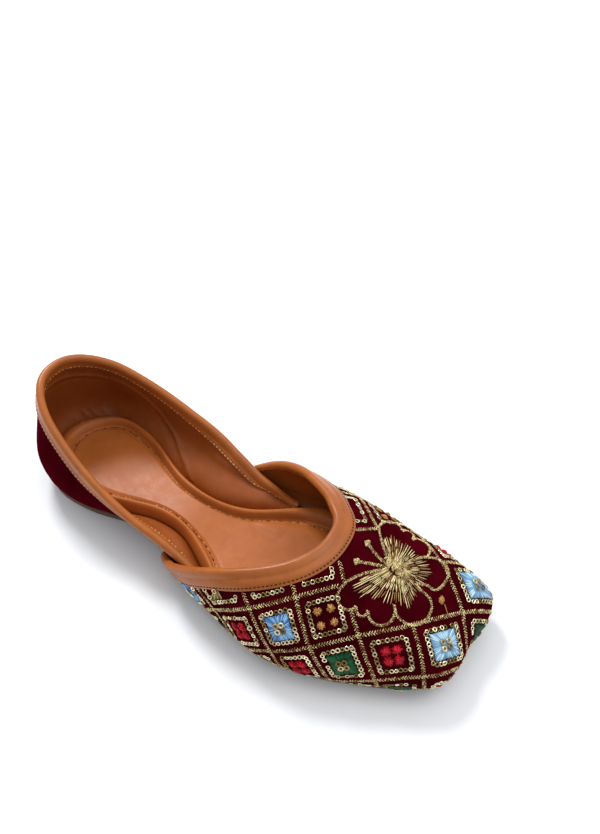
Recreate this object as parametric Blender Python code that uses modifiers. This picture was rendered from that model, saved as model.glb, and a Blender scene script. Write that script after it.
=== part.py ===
"""A slip-on mojari, right foot: flat leather sole, padded insole, one hollow
upper of a vamp lapped over a quarter, and a folded binding on each top edge.

Metres, +X to the toe, +Y to the inner side of the foot, +Z up, floor at z = 0.
"""
import math
from collections import namedtuple

import bmesh
import bpy
import numpy as np

# Named sizes of the shoe.
shoe_length = 0.2434
ball_width = 0.0910
toe_width = 0.0537
waist_width = 0.0274
heel_width = 0.0655
collar_width = 0.0666
throat_width = 0.0750
back_height = 0.0592
instep_height = 0.0504
bulge_height = 0.0115
heel_offset = -0.0020
throat_offset = -0.0018
toe_offset = 0.0159

# Leather, velvet and sole.
sole_thickness = 0.0038
sole_edge = 0.0006
sole_chamfer = 0.0007
upper_wall = 0.0019
lasting_margin = 0.0085
binding_wall = 0.0010
vamp_binding_width = 0.0080
quarter_binding_width = 0.0085
insole_top = 0.0122
roll_width = 0.0072
groove_depth = 0.0011
arch_rise = 0.0012
toe_spring = 0.0025

# Gaps between pieces.
fit_gap = 0.0003
lap_gap = 0.0002
binding_gap = 0.0004

WIDTHS = {"ball": ball_width, "toe": toe_width, "waist": waist_width, "heel": heel_width}
CENTRES = {"ball": 0.0, "toe": toe_offset, "waist": heel_offset, "heel": heel_offset}

# One row for each section of the quarter, from the inner side's front end
# round the heel to the outer side's front end. Along is a share of the shoe's
# length from the heel. Across is a share of the width that the row follows,
# and for the top of the collar's width. Height is a share of the back height.
QuarterRow = namedtuple("QuarterRow", "follows foot_along foot_across low_along low_across "
                        "mid_along mid_across top_along top_across height")
QUARTER = [QuarterRow(*row) for row in (
    ("ball", 0.552, 0.304, 0.552, 0.344, 0.552, 0.358, 0.552, 0.526, 0.245),
    ("ball", 0.476, 0.167, 0.476, 0.217, 0.476, 0.298, 0.476, 0.477, 0.293),
    ("waist", 0.409, 0.419, 0.409, 0.561, 0.409, 0.916, 0.409, 0.486, 0.389),
    ("waist", 0.341, 0.456, 0.341, 0.606, 0.341, 0.973, 0.341, 0.509, 0.503),
    ("waist", 0.274, 0.628, 0.274, 0.786, 0.274, +1.092, 0.274, 0.494, 0.626),
    ("heel", 0.198, 0.369, 0.198, 0.435, 0.198, 0.494, 0.198, 0.459, 0.750),
    ("heel", 0.122, 0.396, 0.122, 0.451, 0.122, 0.474, 0.122, 0.394, 0.868),
    ("heel", 0.077, 0.354, 0.070, 0.399, 0.067, 0.416, 0.077, 0.316, 0.932),
    ("heel", 0.042, 0.250, 0.034, 0.279, 0.032, 0.288, 0.045, 0.218, 0.972),
    ("heel", 0.019, 0.132, 0.010, 0.147, 0.007, 0.150, 0.027, 0.112, 0.995),
    ("heel", 0.012, 0.000, 0.003, 0.000, 0.000, 0.000, 0.021, 0.000, 1.000),
    ("heel", 0.019, -0.132, 0.010, -0.147, 0.007, -0.150, 0.026, -0.114, 0.995),
    ("heel", 0.042, -0.254, 0.034, -0.282, 0.032, -0.289, 0.044, -0.217, 0.975),
    ("heel", 0.077, -0.366, 0.070, -0.408, 0.067, -0.419, 0.077, -0.314, 0.925),
    ("heel", 0.122, -0.422, 0.122, -0.474, 0.122, -0.485, 0.122, -0.383, 0.844),
    ("heel", 0.198, -0.401, 0.198, -0.469, 0.198, -0.505, 0.198, -0.445, 0.688),
    ("waist", 0.274, -0.748, 0.274, -0.916, 0.274, -1.096, 0.274, -0.472, 0.551),
    ("waist", 0.341, -0.576, 0.341, -0.718, 0.341, -0.973, 0.341, -0.479, 0.446),
    ("waist", 0.409, -0.580, 0.409, -0.722, 0.409, -0.946, 0.409, -0.468, 0.368),
    ("ball", 0.476, -0.274, 0.476, -0.321, 0.476, -0.356, 0.476, -0.474, 0.300),
    ("ball", 0.552, -0.355, 0.552, -0.398, 0.552, -0.409, 0.552, -0.529, 0.245),
)]

# One row for each section of the vamp, from the outer wing's end round the
# square toe to the inner wing's end. The throat's across is a share of the
# throat's width and its height of the instep height. Slope is how fast the
# section climbs (less is fuller) and swell bows it outward, as a share of the
# ball's width.
VampRow = namedtuple("VampRow", "follows foot_along foot_across bulge_along bulge_across "
                     "throat_along throat_across height slope swell")
VAMP = [VampRow(*row) for row in (
    ("ball", 0.398, -0.265, 0.398, -0.297, 0.398, -0.368, 0.133, 0.70, 0.000),
    ("ball", 0.423, -0.302, 0.423, -0.358, 0.423, -0.435, 0.231, 0.65, 0.000),
    ("ball", 0.451, -0.338, 0.451, -0.403, 0.451, -0.491, 0.363, 0.60, 0.003),
    ("ball", 0.480, -0.367, 0.480, -0.419, 0.480, -0.512, 0.497, 0.60, 0.009),
    ("ball", 0.514, -0.389, 0.514, -0.439, 0.514, -0.512, 0.631, 0.55, 0.015),
    ("ball", 0.552, -0.416, 0.552, -0.457, 0.552, -0.491, 0.759, 0.50, 0.015),
    ("ball", 0.598, -0.440, 0.598, -0.476, 0.594, -0.439, 0.853, 0.42, 0.009),
    ("ball", 0.661, -0.462, 0.661, -0.501, 0.633, -0.363, 0.920, 0.37, 0.000),
    ("ball", 0.729, -0.439, 0.731, -0.480, 0.660, -0.291, 0.957, 0.40, 0.000),
    ("ball", 0.796, -0.377, 0.800, -0.417, 0.680, -0.217, 0.981, 0.45, 0.000),
    ("ball", 0.864, -0.291, 0.870, -0.327, 0.693, -0.143, 0.993, 0.50, 0.000),
    ("ball", 0.927, -0.197, 0.935, -0.229, 0.700, -0.082, 0.997, 0.54, 0.000),
    ("toe", 0.969, -0.477, 0.983, -0.529, 0.703, -0.034, 0.999, 0.57, 0.000),
    ("toe", 0.979, -0.277, 0.999, -0.306, 0.704, 0.004, 0.999, 0.60, 0.000),
    ("toe", 0.977, -0.004, 0.994, 0.009, 0.704, 0.037, 0.999, 0.60, 0.000),
    ("toe", 0.979, 0.248, 0.999, 0.267, 0.703, 0.072, 0.997, 0.60, 0.000),
    ("toe", 0.963, 0.429, 0.979, 0.473, 0.701, 0.113, 0.993, 0.55, 0.000),
    ("ball", 0.906, 0.457, 0.910, 0.493, 0.696, 0.164, 0.985, 0.48, 0.000),
    ("ball", 0.838, 0.465, 0.840, 0.501, 0.685, 0.219, 0.971, 0.44, 0.000),
    ("ball", 0.762, 0.465, 0.762, 0.505, 0.664, 0.279, 0.949, 0.40, 0.000),
    ("ball", 0.687, 0.460, 0.687, 0.501, 0.638, 0.348, 0.910, 0.37, 0.000),
    ("ball", 0.615, 0.439, 0.615, 0.482, 0.598, 0.417, 0.845, 0.42, 0.007),
    ("ball", 0.556, 0.398, 0.556, 0.449, 0.556, 0.478, 0.761, 0.50, 0.014),
    ("ball", 0.514, 0.351, 0.514, 0.421, 0.514, 0.511, 0.641, 0.55, 0.014),
    ("ball", 0.480, 0.315, 0.480, 0.399, 0.480, 0.517, 0.517, 0.60, 0.008),
    ("ball", 0.451, 0.277, 0.451, 0.372, 0.451, 0.502, 0.381, 0.60, 0.003),
    ("ball", 0.423, 0.234, 0.423, 0.322, 0.423, 0.454, 0.249, 0.65, 0.000),
    ("ball", 0.398, 0.196, 0.398, 0.261, 0.398, 0.388, 0.139, 0.70, 0.000),
)]

# Shares of the length where the sole lifts at the waist and at the toe.
ARCH_FROM, ARCH_TOP, ARCH_TO = 0.27, 0.39, 0.50
SPRING_FROM = 0.76

QUARTER_COLUMNS = 47
VAMP_COLUMNS = 57


def clear_scene():
    """Remove the start-up objects and make the two collections."""
    for thing in list(bpy.data.objects):
        bpy.data.objects.remove(thing)
    shoe = bpy.data.collections.new("mojari_shoe")
    cutters = bpy.data.collections.new("cutters")
    for group in (shoe, cutters):
        bpy.context.scene.collection.children.link(group)
    return shoe, cutters


def smooth_step(value):
    value = min(1.0, max(0.0, value))
    return value * value * (3.0 - 2.0 * value)


def lift(x):
    """How far the sole leaves the floor at this place along the shoe."""
    share = x / shoe_length + 0.5
    if share < ARCH_TO:
        up = smooth_step((share - ARCH_FROM) / (ARCH_TOP - ARCH_FROM))
        down = smooth_step((ARCH_TO - share) / (ARCH_TO - ARCH_TOP))
        return arch_rise * min(up, down)
    return toe_spring * max(0.0, (share - SPRING_FROM) / (1.0 - SPRING_FROM)) ** 1.6


def along(share):
    return (share - 0.5) * shoe_length


def through_rows(rows, steps):
    """Smooth curve through rows of numbers, with this many steps a row."""
    rows = np.array(rows, dtype=float)
    ends = np.vstack([2 * rows[0] - rows[1], rows, 2 * rows[-1] - rows[-2]])
    out = []
    for i in range(1, len(ends) - 2):
        a, b, c, d = ends[i - 1], ends[i], ends[i + 1], ends[i + 2]
        for k in range(steps):
            t = k / steps
            out.append(0.5 * (2 * b + (c - a) * t + (2 * a - 5 * b + 4 * c - d) * t * t
                              + (3 * b - a - 3 * c + d) * t ** 3))
    out.append(ends[-2])
    return np.array(out)


def inward(points):
    """Unit vectors across a plan curve, to the left of its run."""
    run = np.gradient(points[:, :2], axis=0)
    run /= np.linalg.norm(run, axis=1)[:, None]
    return np.stack([-run[:, 1], run[:, 0]], axis=1)


def evenly(sections, top, count):
    """Pick sections evenly spaced along the wall's foot or top, whichever is longer."""
    step = np.diff(sections, axis=0)
    run = np.maximum(np.linalg.norm(step[:, 2:4], axis=1),
                     np.linalg.norm(step[:, top:top + 3], axis=1))
    run = np.concatenate([[0.0], np.cumsum(run)])
    where = np.linspace(0.0, run[-1], count)
    return np.stack([np.interp(where, run, sections[:, k]) for k in range(sections.shape[1])],
                    axis=1)


def quarter_sections(count=QUARTER_COLUMNS):
    """Foot, low, mid and top points of the quarter's sections."""
    rows = []
    for row in QUARTER:
        wide, mid_line = WIDTHS[row.follows], CENTRES[row.follows]
        rows.append((along(row.foot_along), mid_line + row.foot_across * wide,
                     along(row.low_along), mid_line + row.low_across * wide,
                     along(row.mid_along), mid_line + row.mid_across * wide,
                     along(row.top_along), heel_offset + row.top_across * collar_width,
                     row.height * back_height))
    return evenly(through_rows(rows, 12), 6, count)


def vamp_sections(count=VAMP_COLUMNS):
    """Foot, bulge and throat points, slope and swell of the vamp's sections."""
    rows = []
    for row in VAMP:
        wide, mid_line = WIDTHS[row.follows], CENTRES[row.follows]
        rows.append((along(row.foot_along), mid_line + row.foot_across * wide,
                     along(row.bulge_along), mid_line + row.bulge_across * wide,
                     along(row.throat_along), throat_offset + row.throat_across * throat_width,
                     row.height * instep_height, row.slope, row.swell * ball_width))
    return evenly(through_rows(rows, 12), 4, count)


def seat_height():
    """The upper's lower face, just above the sole."""
    return sole_thickness + fit_gap


def low_rise(top):
    """Height of the widest low point above the seat, less where the wall is low."""
    return min(bulge_height - seat_height(), 0.58 * (top - seat_height()))


def quarter_column(section, rows):
    """Outer face of the quarter at one section, from its foot to its top."""
    fx, fy, lx, ly, mx, my, tx, ty, tz = section
    foot_z = seat_height() + lap_gap
    low_z = seat_height() + low_rise(tz)
    mid_z = low_z + 0.36 * (tz - low_z)
    marks = [(fx, fy, foot_z), (lx, ly, low_z), (mx, my, mid_z), (tx, ty, tz)]
    fine = through_rows(marks, 12)
    return spread(fine, rows)


def vamp_column(section, rows):
    """Outer face of the vamp at one section, from its foot to the throat."""
    fx, fy, bx, by, tx, ty, tz, slope, swell = section
    foot_z = seat_height()
    bulge_z = foot_z + low_rise(tz)
    fine = []
    for k in range(9):
        t = k / 9
        out = math.sin(0.5 * math.pi * t)
        rise = 0.45 * t + 0.55 * (1 - math.cos(0.5 * math.pi * t))
        fine.append((fx + (bx - fx) * out, fy + (by - fy) * out,
                     foot_z + (bulge_z - foot_z) * rise))
    side = math.copysign(1.0, by)
    for k in range(41):
        t = k / 40
        over = t ** 1.8
        rise = t ** (1.8 * slope)
        bow = side * swell * math.sin(math.pi * t) ** 1.2
        fine.append((bx + (tx - bx) * over, by + (ty - by) * over + bow,
                     bulge_z + (tz - bulge_z) * rise))
    return spread(np.array(fine), rows)


def spread(fine, count):
    """Evenly spaced points along a finer line."""
    run = np.concatenate([[0.0], np.cumsum(np.linalg.norm(np.diff(fine, axis=0), axis=1))])
    where = np.linspace(0.0, run[-1], count)
    return np.stack([np.interp(where, run, fine[:, k]) for k in range(3)], axis=1)


def vamp_wall(rows):
    return np.array([vamp_column(section, rows) for section in vamp_sections()])


def quarter_wall(rows):
    return np.array([quarter_column(section, rows) for section in quarter_sections()])


def with_margin(wall):
    """Add the row that is turned in under the insole."""
    foot = wall[:, 0, :].copy()
    turned = foot.copy()
    turned[:, :2] += inward(foot) * lasting_margin
    return np.concatenate([turned[:, None, :], wall], axis=1)


def lifted(grid):
    flat = grid.reshape(-1, 3).copy()
    flat[:, 2] += [lift(x) for x in flat[:, 0]]
    return flat.reshape(grid.shape)


def face_normals(grid):
    """Unit vectors out of the wall at each point of a grid."""
    across = np.gradient(grid, axis=0)
    up = np.gradient(grid, axis=1)
    out = np.cross(across, up)
    return out / np.linalg.norm(out, axis=2)[:, :, None]


def material(name, colour, roughness):
    made = bpy.data.materials.new(name)
    made.use_nodes = True
    shader = made.node_tree.nodes["Principled BSDF"]
    shader.inputs["Base Color"].default_value = (*colour, 1.0)
    shader.inputs["Roughness"].default_value = roughness
    shader.inputs["Metallic"].default_value = 0.0
    return made


def mesh_object(name, points, faces, group, look=None):
    mesh = bpy.data.meshes.new(name)
    mesh.from_pydata([tuple(p) for p in points], [], faces)
    mesh.validate()
    thing = bpy.data.objects.new(name, mesh)
    group.objects.link(thing)
    if look:
        mesh.materials.append(look)
    return thing


def sheet(name, grid, group, look=None):
    """An open surface through a grid of points."""
    columns, rows = grid.shape[:2]
    faces = []
    for i in range(columns - 1):
        for j in range(rows - 1):
            a = i * rows + j
            faces.append((a, a + rows, a + rows + 1, a + 1))
    return mesh_object(name, grid.reshape(-1, 3), faces, group, look)


def thicken(thing, wall):
    """Give an open surface its wall, inward from the drawn face."""
    shell = thing.modifiers.new("wall", "SOLIDIFY")
    shell.thickness = wall
    shell.offset = -1.0
    shell.use_even_offset = True
    shell.use_rim = True


def make_upper(shoe, cutters):
    """Vamp and quarter as one hollow solid with a lap at each side."""
    velvet = material("maroon_velvet", (0.10, 0.012, 0.022), 0.85)
    vamp = sheet("upper", lifted(with_margin(vamp_wall(11))), shoe, velvet)
    thicken(vamp, upper_wall)
    quarter = sheet("quarter_shell", lifted(with_margin(quarter_wall(9))), cutters)
    thicken(quarter, upper_wall)
    quarter.hide_render = True
    quarter.display_type = "WIRE"
    join = vamp.modifiers.new("lap", "BOOLEAN")
    join.operation = "UNION"
    join.solver = "EXACT"
    join.object = quarter
    return vamp


def fold_strip(wall, outer, inner, outer_lengths, inner_lengths, reach):
    """Points of a leather fold over the top edge of a wall: down the outside,
    over the edge and down the inside, this far clear of the wall."""
    normals = face_normals(wall)
    ends = np.concatenate([normals[:1], normals, normals[-1:]])
    normals = 0.5 * normals + 0.25 * (ends[:-2] + ends[2:])
    normals /= np.linalg.norm(normals, axis=2)[:, :, None]
    strip = []
    for i in range(len(wall)):
        points, out = wall[i][::-1], normals[i][::-1]
        run = np.concatenate([[0.0], np.cumsum(np.linalg.norm(np.diff(points, axis=0), axis=1))])
        line = []
        for k in range(outer, -1, -1):
            down = outer_lengths[i] * k / outer
            p = np.array([np.interp(down, run, points[:, c]) for c in range(3)])
            n = np.array([np.interp(down, run, out[:, c]) for c in range(3)])
            line.append(p + n * reach / np.linalg.norm(n))
        top, n = points[0], out[0]
        up = points[0] - points[1]
        up -= n * np.dot(up, n)
        up /= np.linalg.norm(up)
        half = 0.5 * upper_wall + reach
        middle = top - n * 0.5 * upper_wall
        for turn in (45, 90, 135):
            angle = math.radians(turn)
            line.append(middle + n * half * math.cos(angle) + up * half * math.sin(angle))
        for k in range(inner + 1):
            down = inner_lengths[i] * k / inner
            p = np.array([np.interp(down, run, points[:, c]) for c in range(3)])
            n = np.array([np.interp(down, run, out[:, c]) for c in range(3)])
            line.append(p - n * (upper_wall + reach) / np.linalg.norm(n))
        strip.append(line)
    return np.array(strip)


def thicken_outward(thing, wall):
    shell = thing.modifiers.new("leather", "SOLIDIFY")
    shell.thickness = wall
    shell.offset = -1.0
    shell.use_even_offset = True
    shell.use_rim = True


def slant(wall):
    """How much longer a column runs than the way straight off its edge."""
    edge = np.gradient(wall[:, -1], axis=0)
    edge /= np.linalg.norm(edge, axis=1)[:, None]
    down = wall[:, -1] - wall[:, -4]
    down /= np.linalg.norm(down, axis=1)[:, None]
    straight = np.linalg.norm(np.cross(edge, down), axis=1)
    return 1.0 / np.maximum(0.7, straight)


def eased(lengths):
    """Round off the sudden changes in a row of lengths, never longer."""
    for _ in range(2):
        ends = np.concatenate([lengths[:1], lengths, lengths[-1:]])
        lengths = np.minimum(lengths, 0.34 * ends[:-2] + 0.33 * ends[1:-1] + 0.33 * ends[2:])
    return lengths


def length_above(column, level):
    """Run of a column from its top down to this height above the sole."""
    points = column[::-1]
    run = np.concatenate([[0.0], np.cumsum(np.linalg.norm(np.diff(points, axis=0), axis=1))])
    heights = points[:, 2]
    return max(0.0, float(np.interp(-level, -heights, run)))


def make_vamp_binding(shoe):
    """The rolled leather edge of the throat and both wings."""
    leather = material("tan_edge_leather", (0.42, 0.17, 0.06), 0.42)
    wall = vamp_wall(24)
    outer, inner = [], []
    for column, longer in zip(wall, slant(wall)):
        whole = length_above(column, seat_height() + 0.4 * (column[-1, 2] - seat_height()))
        outer.append(min(vamp_binding_width * longer, whole))
        near_end = smooth_step((column[-1, 0] - along(0.47)) / (0.09 * shoe_length))
        inner.append(min(0.4 * whole, 0.0012) + near_end * 0.6 * vamp_binding_width)
    strip = fold_strip(lifted(wall), 4, 3, eased(outer), eased(inner), binding_gap)
    thing = sheet("vamp_binding", strip[:, ::-1, :], shoe, leather)
    thicken_outward(thing, binding_wall)
    return thing


def make_quarter_binding(shoe):
    """The rolled leather edge of the collar."""
    leather = material("tan_collar_leather", (0.42, 0.17, 0.06), 0.42)
    wall = quarter_wall(24)
    outer, inner, kept = [], [], []
    for column in wall:
        free = length_above(column, insole_top + fit_gap)
        if free < binding_wall:
            continue
        kept.append(column)
        in_lap = smooth_step((column[-1, 0] - along(0.38)) / (0.05 * shoe_length))
        outer.append(quarter_binding_width * (1 - 0.8 * in_lap))
        inner.append(min(free, quarter_binding_width))
    strip = fold_strip(lifted(np.array(kept)), 3, 3, eased(outer), eased(inner), fit_gap)
    thing = sheet("quarter_binding", strip[:, ::-1, :], shoe, leather)
    thicken_outward(thing, binding_wall)
    return thing


def ring_of(points, count):
    """Evenly spaced closed ring through plan points."""
    closed = np.vstack([points, points[:1]])
    run = np.concatenate([[0.0], np.cumsum(np.linalg.norm(np.diff(closed, axis=0), axis=1))])
    where = np.linspace(0.0, run[-1], count, endpoint=False)
    return np.stack([np.interp(where, run, closed[:, k]) for k in range(2)], axis=1)


def relaxed(ring, times):
    """Round off the small jumps of a ring."""
    for _ in range(times):
        ring = 0.5 * ring + 0.25 * (np.roll(ring, 1, axis=0) + np.roll(ring, -1, axis=0))
    return ring


def grown(ring, distance):
    """Ring moved outward in plan by a distance, inward if negative."""
    run = np.roll(ring, -1, axis=0) - np.roll(ring, 1, axis=0)
    run /= np.linalg.norm(run, axis=1)[:, None]
    return ring + np.stack([run[:, 1], -run[:, 0]], axis=1) * distance


def stacked(name, rings, heights, group, look):
    """Solid through plan rings at heights, cut across so that it can bend."""
    count = len(rings[0])
    points, faces = [], []
    for ring, height in zip(rings, heights):
        points += [(p[0], p[1], height) for p in ring]
    for j in range(len(rings) - 1):
        for i in range(count):
            k = (i + 1) % count
            faces.append((j * count + i, j * count + k, (j + 1) * count + k, (j + 1) * count + i))
    faces.append(tuple(range(count))[::-1])
    top = (len(rings) - 1) * count
    faces.append(tuple(range(top, top + count)))
    thing = mesh_object(name, points, faces, group, look)
    work = bmesh.new()
    work.from_mesh(thing.data)
    for share in BENDS:
        everything = work.verts[:] + work.edges[:] + work.faces[:]
        bmesh.ops.bisect_plane(work, geom=everything, dist=1e-6,
                               plane_co=(along(share), 0, 0), plane_no=(1, 0, 0))
    for vertex in work.verts:
        vertex.co.z += lift(vertex.co.x)
    bmesh.ops.triangulate(work, faces=work.faces[:])
    bmesh.ops.recalc_face_normals(work, faces=work.faces[:])
    work.to_mesh(thing.data)
    work.free()
    return thing


# Places along the shoe where the sole and insole may bend.
BENDS = (0.04, 0.12, 0.20, ARCH_FROM, 0.30, 0.33, 0.36, ARCH_TOP, 0.42, 0.45, 0.475,
         ARCH_TO, 0.58, 0.66, SPRING_FROM, 0.80, 0.84, 0.88, 0.92, 0.96)


def sole_ring(count):
    """Outline of the sole: the quarter's foot behind, the vamp's in front."""
    back = [s[:2] for s in quarter_sections() if s[0] < along(0.37)]
    front = [s[:2] for s in vamp_sections() if s[0] > along(0.41)]
    ring = ring_of(np.array(back + front), count)
    ring = relaxed(ring, 2)
    if signed_area(ring) < 0:
        ring = ring[::-1]
    return ring


def signed_area(ring):
    x, y = ring[:, 0], ring[:, 1]
    return 0.5 * float(np.sum(x * np.roll(y, -1) - y * np.roll(x, -1)))


def make_outsole(shoe):
    """Flat leather sole with a low arch at the waist and a little toe spring."""
    leather = material("sole_leather", (0.23, 0.18, 0.11), 0.6)
    ring = grown(sole_ring(90), sole_edge)
    rings = [grown(ring, -sole_chamfer), ring, ring]
    return stacked("outsole", rings, [0.0, sole_chamfer, sole_thickness], shoe, leather)


def inner_points(wall, level):
    """Where the wall's inner face, less the fit gap, is at this height."""
    normals = face_normals(wall)
    inside = wall - normals * (upper_wall + 2.5 * fit_gap)
    found = []
    for column in inside:
        order = np.argsort(column[:, 2])
        found.append([np.interp(level, column[order, 2], column[order, k]) for k in (0, 1)])
    return np.array(found)


def insole_ring(level, count):
    """Outline of the insole at a height, clear of quarter and vamp."""
    back = inner_points(quarter_wall(24), level)
    front = inner_points(vamp_wall(40), level)
    front = [p - (0.0012 * smooth_step((p[0] - along(0.8)) / 0.03), 0) for p in front
             if p[0] > along(0.60)]
    ring = relaxed(ring_of(np.array(list(back) + front), count), 2)
    ring = grown_inward(ring, 0.0003)
    return ring


def grown_inward(ring, distance):
    if signed_area(ring) < 0:
        ring = ring[::-1]
    return grown(ring, -distance)


def make_insole(shoe):
    """Padded insole: a soft roll round the edge and a stitched groove."""
    leather = material("insole_leather", (0.50, 0.20, 0.07), 0.38)
    under = seat_height() + lap_gap + upper_wall + fit_gap
    count = 80
    wide = insole_ring(insole_top - 0.0026, count)
    low = insole_ring(under, count)
    rings = [low, wide, grown(wide, -0.14 * roll_width), grown(wide, -0.45 * roll_width),
             grown(wide, -0.8 * roll_width), grown(wide, -roll_width),
             grown(wide, -1.25 * roll_width)]
    heights = [under, insole_top - 0.0026, insole_top - 0.0009, insole_top,
               insole_top - 0.4 * groove_depth, insole_top - groove_depth,
               insole_top - 0.2 * groove_depth]
    return stacked("insole", rings, heights, shoe, leather)


def main():
    shoe, cutters = clear_scene()
    make_outsole(shoe)
    make_insole(shoe)
    make_upper(shoe, cutters)
    make_vamp_binding(shoe)
    make_quarter_binding(shoe)


main()
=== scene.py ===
# %% [markdown]
# # A mojari, the embroidered slip-on of North India
# The real shoe is a flat leather sole, a padded insole, a velvet vamp and
# quarter lined with leather, and a rolled leather strip sewn over each top
# edge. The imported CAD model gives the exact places. Here each piece is made
# again with its cloth, leather, thread and sequins, around those places.

# %% Load the frame
import math
from collections import namedtuple

import bpy
import numpy as np
from mathutils import Matrix, Vector


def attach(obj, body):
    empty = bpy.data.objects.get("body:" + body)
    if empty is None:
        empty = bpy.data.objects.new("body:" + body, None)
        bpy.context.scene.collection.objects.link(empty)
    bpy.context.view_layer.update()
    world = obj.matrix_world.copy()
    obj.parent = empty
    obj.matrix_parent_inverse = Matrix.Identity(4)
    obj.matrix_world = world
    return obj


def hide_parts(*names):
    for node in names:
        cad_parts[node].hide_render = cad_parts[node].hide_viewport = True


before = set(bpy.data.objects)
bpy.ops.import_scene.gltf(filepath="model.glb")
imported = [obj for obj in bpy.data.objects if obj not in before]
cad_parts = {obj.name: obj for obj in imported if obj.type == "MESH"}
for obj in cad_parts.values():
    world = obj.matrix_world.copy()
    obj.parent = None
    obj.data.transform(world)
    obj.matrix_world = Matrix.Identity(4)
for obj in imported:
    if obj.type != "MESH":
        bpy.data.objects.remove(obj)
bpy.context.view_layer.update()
print("CAD nodes:", sorted(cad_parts))

# %% [markdown]
# ## Camera
# The photograph looks down on the outer side of a right shoe, with the camera
# rolled a little. A camera could be aimed at a point, but then its roll would
# be a guess. So it is placed by its own right and up directions, which were
# worked out from the shoe's outline in the picture.

# %% Camera
def fresh(operator, **settings):
    """Runs an adding operator with nothing else selected, and gives the new object."""
    bpy.ops.object.select_all(action="DESELECT")
    operator(**settings)
    return bpy.context.object


picture_height, focal_pixels = 834, 862.71
camera_place = Vector((0.14718, -0.18801, 0.37039))
right = Vector((0.8195, 0.5713, 0.0458)).normalized()
up = Vector((-0.4541, 0.5984, 0.6601))
up = (up - right * up.dot(right)).normalized()
back = right.cross(up)
camera = fresh(bpy.ops.object.camera_add, location=camera_place)
camera.matrix_world = Matrix([(right[k], up[k], back[k], camera_place[k]) for k in range(3)]
                             + [(0.0, 0.0, 0.0, 1.0)])
camera.data.sensor_fit = "VERTICAL"
camera.data.sensor_height = 36.0
camera.data.lens = focal_pixels / picture_height * camera.data.sensor_height
camera.data.clip_start = 0.01
bpy.context.scene.camera = camera
print("camera", [round(c, 3) for c in camera.location])

# %% [markdown]
# ## Floor and light
# The shoe stands on a plain pale sheet in soft light. A small bright lamp
# alone would draw hard shadows, and a pale sky alone would draw none. So two
# wide lamps stand above the far side, the stronger one behind the heel, and
# the pale room round them is brighter above and on the far side.

# %% Helpers for nodes
def add(tree, kind, settings=None, inputs=None):
    """A node with its settings, and its inputs given or linked."""
    node = tree.nodes.new(kind)
    for name, value in (settings or {}).items():
        setattr(node, name, value)
    for name, value in (inputs or {}).items():
        if isinstance(value, bpy.types.NodeSocket):
            tree.links.new(value, node.inputs[name])
        else:
            node.inputs[name].default_value = value
    return node


def ranged(tree, value, low, high, start=0.3, end=0.7):
    """A value that runs from low to high while the given one runs from start to end."""
    return add(tree, "ShaderNodeMapRange", None, {
        "Value": value, "From Min": start, "From Max": end,
        "To Min": low, "To Max": high}).outputs["Result"]

# %% Floor
floor = fresh(bpy.ops.mesh.primitive_plane_add, size=24.0, location=(0.0, 0.0, -0.0002))
floor.name = "floor"
pale = bpy.data.materials.new("pale_paper")
pale.use_nodes = True
pale_shader = pale.node_tree.nodes["Principled BSDF"]
pale_shader.inputs["Base Color"].default_value = (0.925, 0.935, 0.95, 1.0)
pale_shader.inputs["Roughness"].default_value = 0.9
pale_shader.inputs["Specular IOR Level"].default_value = 0.1
floor.data.materials.append(pale)
print("floor", floor.dimensions[:])

# %% Lamps
def lamp(name, place, size, power):
    """A round lamp that shines at the middle of the shoe."""
    light = fresh(bpy.ops.object.light_add, type="AREA", location=place)
    light.name = name
    light.data.shape = "DISK"
    light.data.size = size
    light.data.energy = power
    light.rotation_euler = (-Vector(place)).to_track_quat("-Z", "Y").to_euler()
    print(name, power, "watts")


lamp("toe_side_lamp", (0.42, 0.36, 1.00), 0.60, 1.8)
lamp("heel_side_lamp", (-0.72, 0.33, 0.92), 0.34, 9.0)

# %% Pale room
world = bpy.data.worlds.new("pale_room")
world.use_nodes = True
room = world.node_tree
direction = add(room, "ShaderNodeTexCoord").outputs["Generated"]
split = add(room, "ShaderNodeSeparateXYZ", None, {0: direction}).outputs
from_above = ranged(room, split["Z"], 0.40, 1.04, 0.05, 0.85)
to_far_side = ranged(room, split["Y"], 0.60, 1.35, -1.0, 1.0)
glow = add(room, "ShaderNodeMath", {"operation": "MULTIPLY"}, {0: from_above, 1: to_far_side})
room.links.new(glow.outputs[0], room.nodes["Background"].inputs["Strength"])
room.nodes["Background"].inputs["Color"].default_value = (0.96, 0.975, 1.0, 1.0)
bpy.context.scene.world = world
bpy.context.scene.view_settings.view_transform = "Standard"
print("room", len(room.nodes), "nodes")

# %% [markdown]
# ## The shoe's own sizes
# A shoemaker works from a few measures and from sections of the last. These
# are the same measures as the CAD model's, in metres, and each row of the two
# tables is one section of the upper. The sections could be given in metres
# too, but as shares of the measures they stay right when a measure is changed.

# %% Named sizes
shoe_length = 0.2434
ball_width, toe_width, waist_width, heel_width = 0.0910, 0.0537, 0.0274, 0.0655
collar_width, throat_width = 0.0666, 0.0750
back_height, instep_height, bulge_height = 0.0592, 0.0504, 0.0115
heel_offset, throat_offset, toe_offset = -0.0020, -0.0018, 0.0159
sole_thickness, sole_edge = 0.0038, 0.0006
upper_wall, lasting_margin = 0.0019, 0.0085
binding_wall, binding_gap = 0.0010, 0.0004
vamp_binding_width, quarter_binding_width = 0.0080, 0.0085
insole_top = 0.0122
arch_rise, toe_spring = 0.0012, 0.0025
fit_gap, lap_gap = 0.0003, 0.0002
seat = sole_thickness + fit_gap
WIDTHS = {"ball": ball_width, "toe": toe_width, "waist": waist_width, "heel": heel_width}
CENTRES = {"ball": 0.0, "toe": toe_offset, "waist": heel_offset, "heel": heel_offset}
print("shoe", shoe_length * 1000, "mm long, wall", upper_wall * 1000, "mm thick")

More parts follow.
